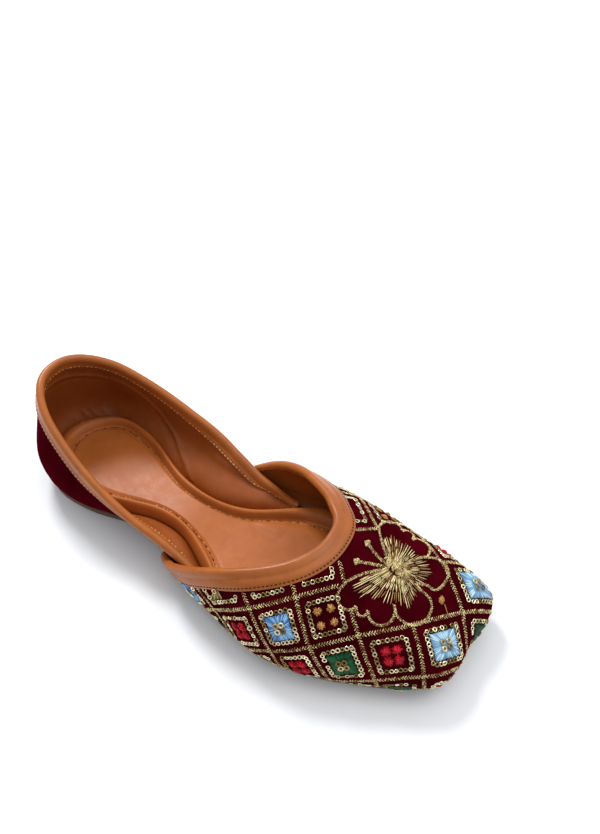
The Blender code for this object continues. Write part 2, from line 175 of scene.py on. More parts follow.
# %% Sections of the quarter
QuarterRow = namedtuple("QuarterRow", "follows foot_along foot_across low_along low_across "
                                      "mid_along mid_across top_along top_across height")
QUARTER = [QuarterRow(*row) for row in (
    ("ball", 0.552, 0.304, 0.552, 0.344, 0.552, 0.358, 0.552, 0.526, 0.245),
    ("ball", 0.476, 0.167, 0.476, 0.217, 0.476, 0.298, 0.476, 0.477, 0.293),
    ("waist", 0.409, 0.419, 0.409, 0.561, 0.409, 0.916, 0.409, 0.486, 0.389),
    ("waist", 0.341, 0.456, 0.341, 0.606, 0.341, 0.973, 0.341, 0.509, 0.503),
    ("waist", 0.274, 0.628, 0.274, 0.786, 0.274, 1.092, 0.274, 0.494, 0.626),
    ("heel", 0.198, 0.369, 0.198, 0.435, 0.198, 0.494, 0.198, 0.459, 0.750),
    ("heel", 0.122, 0.396, 0.122, 0.451, 0.122, 0.474, 0.122, 0.394, 0.868),
    ("heel", 0.077, 0.354, 0.070, 0.399, 0.067, 0.416, 0.077, 0.316, 0.932),
    ("heel", 0.042, 0.250, 0.034, 0.279, 0.032, 0.288, 0.045, 0.218, 0.972),
    ("heel", 0.019, 0.132, 0.010, 0.147, 0.007, 0.150, 0.027, 0.112, 0.995),
    ("heel", 0.012, 0.000, 0.003, 0.000, 0.000, 0.000, 0.021, 0.000, 1.000),
    ("heel", 0.019, -0.132, 0.010, -0.147, 0.007, -0.150, 0.026, -0.114, 0.995),
    ("heel", 0.042, -0.254, 0.034, -0.282, 0.032, -0.289, 0.044, -0.217, 0.975),
    ("heel", 0.077, -0.366, 0.070, -0.408, 0.067, -0.419, 0.077, -0.314, 0.925),
    ("heel", 0.122, -0.422, 0.122, -0.474, 0.122, -0.485, 0.122, -0.383, 0.844),
    ("heel", 0.198, -0.401, 0.198, -0.469, 0.198, -0.505, 0.198, -0.445, 0.688),
    ("waist", 0.274, -0.748, 0.274, -0.916, 0.274, -1.096, 0.274, -0.472, 0.551),
    ("waist", 0.341, -0.576, 0.341, -0.718, 0.341, -0.973, 0.341, -0.479, 0.446),
    ("waist", 0.409, -0.580, 0.409, -0.722, 0.409, -0.946, 0.409, -0.468, 0.368),
    ("ball", 0.476, -0.274, 0.476, -0.321, 0.476, -0.356, 0.476, -0.474, 0.300),
    ("ball", 0.552, -0.355, 0.552, -0.398, 0.552, -0.409, 0.552, -0.529, 0.245),
)]
print(len(QUARTER), "sections of the quarter")

# %% Sections of the vamp
VampRow = namedtuple("VampRow", "follows foot_along foot_across bulge_along bulge_across "
                                "throat_along throat_across height slope swell")
VAMP = [VampRow(*row) for row in (
    ("ball", 0.398, -0.265, 0.398, -0.297, 0.398, -0.368, 0.133, 0.70, 0.000),
    ("ball", 0.423, -0.302, 0.423, -0.358, 0.423, -0.435, 0.231, 0.65, 0.000),
    ("ball", 0.451, -0.338, 0.451, -0.403, 0.451, -0.491, 0.363, 0.60, 0.003),
    ("ball", 0.480, -0.367, 0.480, -0.419, 0.480, -0.512, 0.497, 0.60, 0.009),
    ("ball", 0.514, -0.389, 0.514, -0.439, 0.514, -0.512, 0.631, 0.55, 0.015),
    ("ball", 0.552, -0.416, 0.552, -0.457, 0.552, -0.491, 0.759, 0.50, 0.015),
    ("ball", 0.598, -0.440, 0.598, -0.476, 0.594, -0.439, 0.853, 0.42, 0.009),
    ("ball", 0.661, -0.462, 0.661, -0.501, 0.633, -0.363, 0.920, 0.37, 0.000),
    ("ball", 0.729, -0.439, 0.731, -0.480, 0.660, -0.291, 0.957, 0.40, 0.000),
    ("ball", 0.796, -0.377, 0.800, -0.417, 0.680, -0.217, 0.981, 0.45, 0.000),
    ("ball", 0.864, -0.291, 0.870, -0.327, 0.693, -0.143, 0.993, 0.50, 0.000),
    ("ball", 0.927, -0.197, 0.935, -0.229, 0.700, -0.082, 0.997, 0.54, 0.000),
    ("toe", 0.969, -0.477, 0.983, -0.529, 0.703, -0.034, 0.999, 0.57, 0.000),
    ("toe", 0.979, -0.277, 0.999, -0.306, 0.704, 0.004, 0.999, 0.60, 0.000),
    ("toe", 0.977, -0.004, 0.994, 0.009, 0.704, 0.037, 0.999, 0.60, 0.000),
    ("toe", 0.979, 0.248, 0.999, 0.267, 0.703, 0.072, 0.997, 0.60, 0.000),
    ("toe", 0.963, 0.429, 0.979, 0.473, 0.701, 0.113, 0.993, 0.55, 0.000),
    ("ball", 0.906, 0.457, 0.910, 0.493, 0.696, 0.164, 0.985, 0.48, 0.000),
    ("ball", 0.838, 0.465, 0.840, 0.501, 0.685, 0.219, 0.971, 0.44, 0.000),
    ("ball", 0.762, 0.465, 0.762, 0.505, 0.664, 0.279, 0.949, 0.40, 0.000),
    ("ball", 0.687, 0.460, 0.687, 0.501, 0.638, 0.348, 0.910, 0.37, 0.000),
    ("ball", 0.615, 0.439, 0.615, 0.482, 0.598, 0.417, 0.845, 0.42, 0.007),
    ("ball", 0.556, 0.398, 0.556, 0.449, 0.556, 0.478, 0.761, 0.50, 0.014),
    ("ball", 0.514, 0.351, 0.514, 0.421, 0.514, 0.511, 0.641, 0.55, 0.014),
    ("ball", 0.480, 0.315, 0.480, 0.399, 0.480, 0.517, 0.517, 0.60, 0.008),
    ("ball", 0.451, 0.277, 0.451, 0.372, 0.451, 0.502, 0.381, 0.60, 0.003),
    ("ball", 0.423, 0.234, 0.423, 0.322, 0.423, 0.454, 0.249, 0.65, 0.000),
    ("ball", 0.398, 0.196, 0.398, 0.261, 0.398, 0.388, 0.139, 0.70, 0.000),
)]
print(len(VAMP), "sections of the vamp")

# %% [markdown]
# ## Curves and walls
# A table gives only some sections of a wall, so smooth curves are run through
# them. Blender's own curves could do this, but plain numbers are easier to
# space evenly and to read again when the lining and the thread are laid on.

# %% Helpers for curves
def smooth_step(value):
    """Rises softly from 0 to 1."""
    value = np.clip(value, 0.0, 1.0)
    return value * value * (3.0 - 2.0 * value)


def along(share):
    """Place along the shoe, from its share of the length."""
    return (share - 0.5) * shoe_length


def lift(x):
    """How far the sole leaves the floor at this place along the shoe."""
    share = np.asarray(x) / shoe_length + 0.5
    arch = np.minimum(smooth_step((share - 0.27) / 0.12),
                      smooth_step((0.50 - share) / 0.11))
    spring = np.clip((share - 0.76) / 0.24, 0.0, None) ** 1.6
    return arch_rise * arch * (share < 0.5) + toe_spring * spring


def through_rows(rows, steps):
    """Smooth curve through rows of numbers, with this many steps a row."""
    rows = np.array(rows, dtype=float)
    ends = np.vstack([2 * rows[0] - rows[1], rows, 2 * rows[-1] - rows[-2]])
    t = (np.arange(steps) / steps)[:, None]
    out = []
    for i in range(1, len(ends) - 2):
        a, b, c, d = ends[i - 1], ends[i], ends[i + 1], ends[i + 2]
        out.append(0.5 * (2 * b + (c - a) * t + (2 * a - 5 * b + 4 * c - d) * t * t
                          + (3 * b - a - 3 * c + d) * t ** 3))
    return np.vstack(out + [ends[-2:-1]])


print("toe lifted by", round(float(lift(0.5 * shoe_length)) * 1000, 2), "mm")

# %% Helpers for even spacing
def run_of(points):
    """Length along a line of points, up to each point."""
    return np.concatenate([[0.0], np.cumsum(np.linalg.norm(np.diff(points, axis=0), axis=1))])


def unit(vectors):
    """The same directions, each one unit long."""
    return vectors / np.linalg.norm(vectors, axis=-1, keepdims=True)


def at(where, run, values):
    """Rows of values, read at places along their run."""
    return np.stack([np.interp(where, run, column) for column in values.T], axis=-1)


def spread(fine, count):
    """Evenly spaced points along a finer line."""
    run = run_of(fine)
    return at(np.linspace(0.0, run[-1], count), run, fine)


def evenly(sections, top, count):
    """Sections evenly spaced along the wall's foot or top, whichever is longer."""
    step = np.diff(sections, axis=0)
    run = np.maximum(np.linalg.norm(step[:, 2:4], axis=1),
                     np.linalg.norm(step[:, top:top + 3], axis=1))
    run = np.concatenate([[0.0], np.cumsum(run)])
    return at(np.linspace(0.0, run[-1], count), run, sections)

# %% [markdown]
# ## The two walls of the upper
# On the real shoe two flat pieces are pulled over a last. They could be made
# by pushing cloth over a last here too, but then the shape would not follow
# the CAD sections. So each wall is drawn as a net of points: columns run round
# the shoe, and rows run from the sole up to the top edge. Every other piece,
# such as lining, binding and embroidery, is laid on these nets, so they fit.

# %% Net of the quarter
def quarter_net(columns, rows):
    table = []
    for row in QUARTER:
        wide, middle = WIDTHS[row.follows], CENTRES[row.follows]
        table.append((along(row.foot_along), middle + row.foot_across * wide,
                      along(row.low_along), middle + row.low_across * wide,
                      along(row.mid_along), middle + row.mid_across * wide,
                      along(row.top_along), heel_offset + row.top_across * collar_width,
                      row.height * back_height))
    sections = evenly(through_rows(table, 24), 6, columns)
    net = []
    for fx, fy, lx, ly, mx, my, tx, ty, tz in sections:
        low_z = seat + min(bulge_height - seat, 0.58 * (tz - seat))
        mid_z = low_z + 0.36 * (tz - low_z)
        marks = [(fx, fy, seat + lap_gap), (lx, ly, low_z), (mx, my, mid_z), (tx, ty, tz)]
        net.append(spread(through_rows(marks, 24), rows))
    return raised(np.array(net))


def raised(net):
    """The net, lifted where the sole leaves the floor."""
    net[:, :, 2] += lift(net[:, :, 0])
    return net

# %% Net of the vamp
def vamp_net(columns, rows):
    table = []
    for row in VAMP:
        wide, middle = WIDTHS[row.follows], CENTRES[row.follows]
        table.append((along(row.foot_along), middle + row.foot_across * wide,
                      along(row.bulge_along), middle + row.bulge_across * wide,
                      along(row.throat_along),
                      throat_offset + row.throat_across * throat_width,
                      row.height * instep_height, row.slope, row.swell * ball_width))
    sections = evenly(through_rows(table, 24), 4, columns)
    low = np.arange(12)[:, None] / 12
    high = np.linspace(0.0, 1.0, 80)[:, None]
    net = []
    for fx, fy, bx, by, tx, ty, tz, slope, swell in sections:
        foot, side = np.array([fx, fy, seat]), math.copysign(1.0, by)
        bulge = np.array([bx, by, seat + min(bulge_height - seat, 0.58 * (tz - seat))])
        throat = np.array([tx, ty, tz])
        out = np.sin(0.5 * math.pi * low)
        rise = 0.45 * low + 0.55 * (1 - np.cos(0.5 * math.pi * low))
        lower = foot + (bulge - foot) * np.hstack([out, out, rise])
        over, climb = high ** 1.8, high ** (1.8 * slope)
        upper = bulge + (throat - bulge) * np.hstack([over, over, climb])
        upper[:, 1] += side * swell * np.sin(math.pi * np.clip(high[:, 0], 0.0, 1.0)) ** 1.2
        net.append(spread(np.vstack([lower, upper]), rows))
    return raised(np.array(net))


# %% Helpers for nets
def outward(net):
    """Unit vectors out of a net at each of its points."""
    return unit(np.cross(np.gradient(net, axis=0), np.gradient(net, axis=1)))


def calmed(directions, times):
    """Directions smoothed along the columns."""
    for _ in range(times):
        ends = np.concatenate([directions[:1], directions, directions[-1:]])
        directions = unit(0.5 * directions + 0.25 * (ends[:-2] + ends[2:]))
    return directions


def with_margin(net):
    """Adds the rows that are turned in under the insole."""
    foot = net[:, 0, :]
    run = unit(np.gradient(foot[:, :2], axis=0))
    inward = np.stack([-run[:, 1], run[:, 0], np.zeros(len(run))], axis=1)
    rows = [foot + inward * lasting_margin * k / 3 for k in (3, 2, 1)]
    return np.concatenate([np.stack(rows, axis=1), net], axis=1)


def dipped(net):
    """Lets both front ends of the quarter sink beside the insole."""
    deepest = 0.0052
    dip = smooth_step((net[:, -1, 0] - along(0.475)) / (0.07 * shoe_length))[:, None]
    rise = (net[:, :, 2] - net[:, :1, 2]) / (net[:, -1:, 2] - net[:, :1, 2])
    net[:, :, 2] -= deepest * dip * rise
    return net


vamp = vamp_net(260, 70)
quarter = dipped(quarter_net(240, 60))
# Columns left out at the end of the near wing, which is cut square.
wing_cut = 3
print("vamp net", vamp.shape, "quarter net", quarter.shape)

# %% [markdown]
# ## From a net to a piece
# Velvet, lining and binding are sheets about a millimetre thick. A grid
# primitive has the same rows and columns as a net, and a tidy UV map. So its
# corners are moved onto the net's points, and the Solidify modifier gives the
# sheet the thickness of cloth or leather.

# %% Helpers for pieces
def only(piece):
    """Selects one piece alone."""
    bpy.ops.object.select_all(action="DESELECT")
    piece.select_set(True)
    bpy.context.view_layer.objects.active = piece


def apply_all(piece):
    """Applies a piece's modifiers, in their order."""
    only(piece)
    for modifier in list(piece.modifiers):
        bpy.ops.object.modifier_apply(modifier=modifier.name)


def net_piece(name, net, look):
    """A grid primitive whose corners lie on the net."""
    columns, rows = net.shape[:2]
    piece = fresh(bpy.ops.mesh.primitive_grid_add, x_subdivisions=columns - 1,
                  y_subdivisions=rows - 1, size=2.0)
    piece.name = piece.data.name = name
    flat = np.empty(len(piece.data.vertices) * 3)
    piece.data.vertices.foreach_get("co", flat)
    flat = flat.reshape(-1, 3)
    i = np.rint((flat[:, 0] + 1) / 2 * (columns - 1)).astype(int)
    j = np.rint((flat[:, 1] + 1) / 2 * (rows - 1)).astype(int)
    piece.data.vertices.foreach_set("co", net[i, j].ravel())
    piece.data.materials.append(look)
    bpy.ops.object.shade_smooth()
    return piece

# %% Thickness and names of pieces
def thick(piece, wall, side=-1.0, skived=None):
    """Gives a net its thickness; skived rows at either end are pared thinner."""
    shell = piece.modifiers.new("wall", "SOLIDIFY")
    shell.thickness = wall
    shell.offset = side
    if skived:
        full = piece.vertex_groups.new(name="full")
        columns = int(np.rint(len(piece.data.vertices) / skived["rows"]))
        for row in range(skived["rows"]):
            from_edge = min(row, skived["rows"] - 1 - row)
            share = float(np.interp(from_edge, [0, 1, 2, 3], skived["shares"]))
            full.add([row * columns + k for k in range(columns)], share, "REPLACE")
        shell.vertex_group = "full"
    apply_all(piece)
    bpy.ops.object.shade_smooth_by_angle(angle=math.radians(50))
    return piece


def belongs(piece, slot, *nodes):
    """Rides on the shoe and stands for the nodes, which it hides; the slot is not used."""
    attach(piece, "root")
    if nodes:
        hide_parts(*nodes)
    print(piece.name, len(piece.data.polygons), "faces")

# %% [markdown]
# ## How the finishes are made
# Pictures could be wrapped round the pieces, but their seams would show on so
# small a thing. So each effect, such as the grain of leather or the nap of
# velvet, is a group of nodes that reads places on the shoe, in metres. It is
# made once, with named inputs, and is placed in every material that needs it
# with that material's own values.

# %% Helpers for patterns
def colour_of(value):
    """A colour with its fourth number, or a plain value as it is."""
    return (*value, 1.0) if isinstance(value, tuple) else value


def here(tree):
    """The place on the shoe."""
    return add(tree, "ShaderNodeTexCoord").outputs["Object"]


def noise(tree, where, scale, detail=3.0, rough=0.5):
    """Cloudy values from 0 to 1, finer with a larger scale."""
    return add(tree, "ShaderNodeTexNoise", None, {
        "Vector": where, "Scale": scale, "Detail": detail, "Roughness": rough}).outputs["Fac"]


def mixed(tree, share, a, b):
    """Colour between a and b."""
    return add(tree, "ShaderNodeMix", {"data_type": "RGBA"},
               {0: share, 6: colour_of(a), 7: colour_of(b)}).outputs[2]


def plus(tree, a, b):
    return add(tree, "ShaderNodeMath", {"operation": "ADD"}, {0: a, 1: b}).outputs[0]


def sums(tree, a, b, share):
    """a times share, plus b times the rest."""
    first = add(tree, "ShaderNodeMath", {"operation": "MULTIPLY"}, {0: a, 1: share}).outputs[0]
    return add(tree, "ShaderNodeMath", {"operation": "MULTIPLY_ADD"},
               {0: b, 1: 1 - share, 2: first}).outputs[0]

# %% Helpers for effects and materials
OUTPUTS = {"Base Color": "NodeSocketColor", "Roughness": "NodeSocketFloat",
           "Height": "NodeSocketFloat"}


def effect(name, inputs, draw):
    """A node group made once, with named inputs and the three outputs."""
    group = bpy.data.node_groups.new(name, "ShaderNodeTree")
    for socket, value in inputs.items():
        kind = "NodeSocketColor" if isinstance(value, tuple) else "NodeSocketFloat"
        made = group.interface.new_socket(socket, in_out="INPUT", socket_type=kind)
        made.default_value = colour_of(value)
    for socket, kind in OUTPUTS.items():
        group.interface.new_socket(socket, in_out="OUTPUT", socket_type=kind)
    given = group.nodes.new("NodeGroupInput").outputs
    end = group.nodes.new("NodeGroupOutput")
    for socket, value in zip(OUTPUTS, draw(group, given)):
        group.links.new(value, end.inputs[socket])
    print("effect", name, "with", ", ".join(inputs))
    return group


def finish(name, group, values, relief=0.0001, **constants):
    """A material with one effect placed in it, and constants on the shader's own sockets."""
    made = bpy.data.materials.new(name)
    made.use_nodes = True
    tree = made.node_tree
    shader = tree.nodes["Principled BSDF"]
    placed = add(tree, "ShaderNodeGroup", {"node_tree": group},
                 {socket: colour_of(value) for socket, value in values.items()})
    bump = add(tree, "ShaderNodeBump", None, {"Strength": 0.8, "Distance": relief,
                                             "Height": placed.outputs["Height"]})
    tree.links.new(placed.outputs["Base Color"], shader.inputs["Base Color"])
    tree.links.new(placed.outputs["Roughness"], shader.inputs["Roughness"])
    tree.links.new(bump.outputs["Normal"], shader.inputs["Normal"])
    for socket, value in constants.items():
        shader.inputs[socket.replace("_", " ")].default_value = value
    return made

# %% [markdown]
# ## Leather
# The lining, the edges and the insole are one family of tan leather: pores
# under a millimetre apart, fine wrinkles and pale blotches where it was rubbed.
# A flat colour would look like plastic. So one grain serves all three, and the
# edges are given the smoothest face, because they are polished by hand.

# %% Leather grain
def draw_leather(tree, given):
    """Blotches in the colour, painted shade in the wrinkles' hollows, wrinkles in the shine, and
    pores in the height.
    """
    place = here(tree)
    blotch = noise(tree, place, given["Patch Scale"], 4.0, 0.55)
    wrinkle = noise(tree, place, 260.0, 4.0, 0.6)
    pores = add(tree, "ShaderNodeTexVoronoi", None,
                {"Vector": place, "Scale": 1400.0}).outputs["Distance"]
    colour = mixed(tree, ranged(tree, blotch, 0.0, 1.0, 0.34, 0.66), given["Dark"], given["Light"])
    # Painted shade: the colour is darkened in the low hollows of the wrinkles.
    painted_wrinkle_shade = mixed(tree, 0.55, given["Dark"], (0.0, 0.0, 0.0))
    colour = mixed(tree, ranged(tree, wrinkle, 0.16, 0.0), colour, painted_wrinkle_shade)
    smooth = given["Smooth"]
    return (colour, ranged(tree, wrinkle, plus(tree, smooth, -0.05), plus(tree, smooth, 0.09)),
            sums(tree, pores, wrinkle, 0.45))


leather_grain = effect("leather_grain", {
    "Dark": (0.3, 0.08, 0.02), "Light": (0.4, 0.11, 0.03), "Smooth": 0.35,
    "Patch Scale": 32.0}, draw_leather)


def leather(name, dark, light, smooth, relief, gloss, patch=32.0):
    """Leather between two shades, with its own shine and depth of grain."""
    return finish(name, leather_grain, {
        "Dark": dark, "Light": light, "Smooth": smooth, "Patch Scale": patch},
        relief, Specular_IOR_Level=gloss)


lining_leather = leather("lining_leather", (0.245, 0.056, 0.009), (0.320, 0.080, 0.014),
                         0.38, 0.00006, 0.22)
edge_leather = leather("edge_leather", (0.335, 0.088, 0.013), (0.420, 0.118, 0.019),
                       0.31, 0.00005, 0.34)
insole_leather = leather("padded_leather", (0.385, 0.102, 0.018), (0.490, 0.140, 0.028),
                         0.35, 0.00005, 0.26, 24.0)

# %% [markdown]
# ## Sole leather
# The sole is thick undyed leather, pressed hard, and its cut edge shows the
# layers of the hide. Painted lines would stop at the corners of the sole. So
# long thin bands are drawn by squeezing a noise in height, all round alike.

# %% Sole leather
def draw_layers(tree, given):
    """Long level bands with fine scuffs."""
    place = here(tree)
    layers = add(tree, "ShaderNodeMapping", None,
                 {"Vector": place, "Scale": (60.0, 60.0, 2600.0)}).outputs[0]
    bands = noise(tree, layers, 1.0, 3.0, 0.6)
    scuffs = noise(tree, place, 420.0, 4.0, 0.6)
    colour = mixed(tree, ranged(tree, bands, 0.0, 1.0), given["Dark"], given["Light"])
    colour = mixed(tree, ranged(tree, scuffs, 0.4, 0.0), colour, given["Scuff"])
    return colour, ranged(tree, scuffs, 0.5, 0.72), sums(tree, bands, scuffs, 0.6)


SOLE_SHADES = {"Dark": (0.105, 0.058, 0.034), "Light": (0.19, 0.115, 0.070),
               "Scuff": (0.06, 0.035, 0.02)}
leather_layers = effect("leather_layers", SOLE_SHADES, draw_layers)
sole_leather = finish("sole_leather", leather_layers, SOLE_SHADES, 0.0001,
                      Specular_IOR_Level=0.3)

# %% [markdown]
# ## Velvet
# Velvet is a pile of short fibres that drinks the light and shines only along
# its edges. Thousands of hairs could be grown, but at this size they would
# not show. So a very fine relief, a brushed shade and a little sheen do it.

# %% Velvet
def draw_nap(tree, given):
    """Brushed patches in the shade, and fibres in the height."""
    place = here(tree)
    brushed = noise(tree, place, 70.0, 3.0, 0.55)
    fibres = noise(tree, place, 3200.0, 2.0, 0.6)
    share = ranged(tree, sums(tree, brushed, fibres, 0.6), 0.0, 1.0, 0.36, 0.64)
    return (mixed(tree, share, given["Dark"], given["Light"]), ranged(tree, brushed, 0.85, 0.98),
            sums(tree, fibres, brushed, 0.8))


MAROON = {"Dark": (0.026, 0.0004, 0.0018), "Light": (0.066, 0.0010, 0.0048)}
velvet_nap = effect("velvet_nap", MAROON, draw_nap)
velvet = finish("maroon_velvet", velvet_nap, MAROON, 0.00012,
                Specular_IOR_Level=0.0, Sheen_Weight=0.14, Sheen_Roughness=0.32,
                Sheen_Tint=(0.50, 0.012, 0.045, 1.0))

# %% [markdown]
# ## Thread, sequins and silk
# Metal thread and silk glitter because each stitch lies at its own slant and catches the light
# alone. One shade for all would look painted. So every stitch carries a random number, which this
# effect turns into a colour between a dark and a light one: partly the stitch's own tone and
# partly painted shade and painted glint. A fine twist runs through it. Linen, silk, gold and
# sequins all use it.

# %% Thread tone with painted glint and shade
def draw_thread(tree, given):
    """Colour from each stitch's own number, partly its tone and partly painted shade and glint,
    with a fine twist.
    """
    tone_and_glint = add(tree, "ShaderNodeAttribute", {"attribute_name": "tone_and_glint"}).outputs["Fac"]
    twist = noise(tree, here(tree), given["Twist Scale"], 2.0, 0.5)
    # Painted glint and shade: the stitch's number and the twist pick its colour between Dark and
    # Light.
    share = ranged(tree, sums(tree, tone_and_glint, twist, 0.75), 0.0, 1.0, 0.25, 0.75)
    colour = mixed(tree, share, given["Dark"], given["Light"])
    return colour, ranged(tree, twist, given["Rough Low"], given["Rough High"]), twist


thread_tone_and_glint = effect("thread_tone_and_glint", {
    "Dark": (0.2, 0.1, 0.05), "Light": (0.8, 0.6, 0.3), "Rough Low": 0.3, "Rough High": 0.5,
    "Twist Scale": 2600.0}, draw_thread)


def thread(name, dark, light, rough_low, rough_high, relief=0.0001, twist=2600.0, **constants):
    """Thread whose stitches run from dark to light: their own tone with painted shade and painted
    glint.
    """
    return finish(name, thread_tone_and_glint, {
        "Dark": dark, "Light": light, "Rough Low": rough_low, "Rough High": rough_high,
        "Twist Scale": twist}, relief, **constants)


def silk(name, dark, light, metal=0.0):
    """Soft bright thread, with some metal in it if wished."""
    return thread(name, dark, light, 0.38, 0.52, Specular_IOR_Level=0.22, Metallic=metal)


def linen(name, dark, light):
    """Dull waxed sewing thread."""
    return thread(name, dark, light, 0.55, 0.75, 0.00005, Specular_IOR_Level=0.12)

# %% Threads of this shoe
# Painted glint and shade: each thread's dark and light colours are its stitches in shade and in
# glint, as well as its own tone.
gold_thread = thread("gold_thread", (0.27, 0.120, 0.020), (1.0, 0.86, 0.42), 0.20, 0.34,
                     Metallic=0.35, Specular_IOR_Level=0.8)
sequin_metal = thread("sequin_metal", (0.24, 0.16, 0.05), (1.0, 0.88, 0.57), 0.10, 0.24,
                      0.00006, 700.0, Metallic=1.0)
old_gold = thread("old_gold", (0.24, 0.15, 0.05), (0.95, 0.78, 0.42), 0.2, 0.35, 0.00006,
                  Metallic=0.9)
red_silk = silk("red_silk", (0.22, 0.001, 0.008), (0.76, 0.007, 0.028))
tan_silk = silk("tan_silk", (0.26, 0.105, 0.022), (0.72, 0.38, 0.12), 0.25)
blue_silk = silk("blue_silk", (0.035, 0.15, 0.40), (0.36, 0.62, 0.90))
sky_silk = silk("sky_silk", (0.16, 0.36, 0.56), (0.66, 0.86, 0.95))
green_silk = silk("green_silk", (0.001, 0.030, 0.009), (0.010, 0.135, 0.040))
olive_silk = silk("olive_silk", (0.20, 0.13, 0.03), (0.62, 0.46, 0.18), 0.3)
dark_linen = linen("dark_linen", (0.018, 0.005, 0.002), (0.050, 0.015, 0.006))
tan_linen = linen("tan_linen", (0.09, 0.025, 0.008), (0.60, 0.31, 0.14))
beige_linen = linen("beige_linen", (0.42, 0.21, 0.08), (0.78, 0.50, 0.27))
print(len(bpy.data.materials), "materials from", len(bpy.data.node_groups), "effects")

# %% [markdown]
# ## Creases and ridges of the walls
# The lining shows the edge of the heel stiffener behind it as a soft ridge.
# Small puckers stand at the back where the lining is drawn round the heel, and
# the walls give a little at the waist. A relief in the finish would vanish at
# the outline. So each is a line through places in millimetres, with a depth
# and a width, and the net itself is pressed in or out along it.

# %% Helper for creases
millimetre = 0.001
Crease = namedtuple("Crease", "depth width places")


def pressed(net, creases, side):
    """Moves a net in (depth over 0) or out, close to each crease's line."""
    ways = calmed(outward(net), 2) * side
    flat = net.reshape(-1, 3)
    depth = np.zeros(len(flat))
    for crease in creases:
        line = spread(through_rows(np.array(crease.places) * millimetre, 8), 60)
        line = flat[np.linalg.norm(line[:, None] - flat[None], axis=2).argmin(axis=1)]
        line[1:-1] = 0.5 * line[1:-1] + 0.25 * (line[:-2] + line[2:])
        away = np.linalg.norm(flat[:, None] - line[None], axis=2)
        near = away.argmin(axis=1)
        fade = np.sin(math.pi * np.clip((near + 2) / 63, 0.0, 1.0)) ** 0.5
        reach = away.min(axis=1) / (crease.width * millimetre)
        depth += crease.depth * millimetre * fade * np.exp(-reach ** 2)
    return net - ways * depth.reshape(net.shape[:2])[:, :, None]

# %% Creases of this shoe
HEEL_EDGE = [(-108, -20, 46), (-114.4, -11.7, 48.2), (-116.8, -3.5, 47.2), (-116.4, 2.9, 46.3),
             (-111.9, 12.2, 44.1), (-105.4, 19.6, 40.8), (-97.2, 23.7, 38.7), (-87.9, 26.3, 34.9),
             (-79.6, 28.1, 29.1), (-71.8, 28.3, 22.2), (-63.0, 25.7, 18.6), (-53.5, 20.2, 15.3),
             (-40.1, 12.0, 11.7)]
HEEL_EDGE_OUTER = [(-108, -20, 46), (-103, -25, 41), (-94, -28, 35), (-83.4, -30, 27),
                   (-73.3, -29.5, 19), (-62, -26, 13)]
HEEL_FOOT = [(-98, -24, 8), (-108, -18, 8), (-116, -8, 8), (-118, 2, 8), (-112, 14, 8),
             (-100, 22, 8), (-85, 27, 8), (-62, 24, 8), (-46, 17, 8)]
INSIDE = [
    Crease(-5.0, 7.0, HEEL_FOOT),
    Crease(-1.35, 1.15, HEEL_EDGE),
    Crease(0.45, 2.0, [(x - 1.0, y, z - 3.0) for x, y, z in HEEL_EDGE]),
    Crease(-0.45, 1.3, HEEL_EDGE_OUTER),
    Crease(-0.45, 0.9, [(-117.6, 10.0, 17), (-116.0, 12.4, 13.5), (-113.5, 14.5, 11.5)]),
    Crease(-0.40, 0.9, [(-114.6, 14.0, 17.5), (-113.0, 15.6, 14.0), (-110.5, 17.5, 11.5)]),
    Crease(-0.35, 0.9, [(-110.0, 19.0, 16), (-108.5, 19.8, 13.5), (-106.5, 20.5, 11.5)]),
    Crease(-0.30, 1.0, [(-119.3, 3.0, 16), (-118.8, 5.5, 13.5), (-118.0, 7.0, 11.5)]),
    Crease(0.35, 2.5, [(-30, 21, 22), (-20, 24, 17), (-10, 29, 13)]),
    Crease(-0.30, 2.2, [(-36, 22, 24), (-26, 25, 20), (-16, 28, 17)]),
    Crease(0.35, 2.2, [(-45, -22, 22), (-35, -23, 16), (-27, -26, 12)]),
]
OUTSIDE_QUARTER = [
    Crease(0.45, 2.6, [(-52, -24, 22), (-42, -25, 16), (-34, -27, 9)]),
    Crease(-0.25, 2.0, [(-58, -26, 22), (-49, -27, 15), (-42, -28, 9)]),
    Crease(0.40, 2.6, [(-50, 20, 24), (-42, 20, 17), (-36, 22, 9)]),
    Crease(0.25, 3.0, [(-108, -26, 20), (-96, -31, 12), (-84, -33, 7)]),
]
OUTSIDE_VAMP = [
    Crease(0.30, 2.6, [(-12, -41, 12), (-2, -45, 9), (10, -47, 6)]),
    Crease(0.28, 2.2, [(88, -26, 13), (98, -19, 10), (106, -13, 6)]),
    Crease(0.28, 2.4, [(101, 36, 12), (94, 41, 8), (86, 44, 5)]),
    Crease(0.25, 2.0, [(110, 0, 14), (113, 8, 12), (112, 22, 11)]),
]
print(len(INSIDE), "creases inside,", len(OUTSIDE_QUARTER) + len(OUTSIDE_VAMP), "outside")

# %% [markdown]
# ## Vamp, quarter and their linings
# The upper is velvet outside and thin leather inside, pasted together. One
# thick sheet would be simpler, but then one finish would have to serve for
# both. So they are two layers of about a millimetre, and the velvet's margin
# is turned in under the insole, as the shoemaker does.

# %% Cloth
layer = 0.5 * upper_wall - 0.00005
vamp_outside = with_margin(pressed(vamp, OUTSIDE_VAMP, 1.0)[wing_cut:])
vamp_cloth = thick(net_piece("vamp_cloth", vamp_outside, velvet), layer)
belongs(vamp_cloth, "maroon_velvet", "upper")
quarter_outside = with_margin(pressed(quarter, OUTSIDE_QUARTER, 1.0))
quarter_cloth = thick(net_piece("quarter_cloth", quarter_outside, velvet), layer)
belongs(quarter_cloth, "maroon_velvet", "upper")

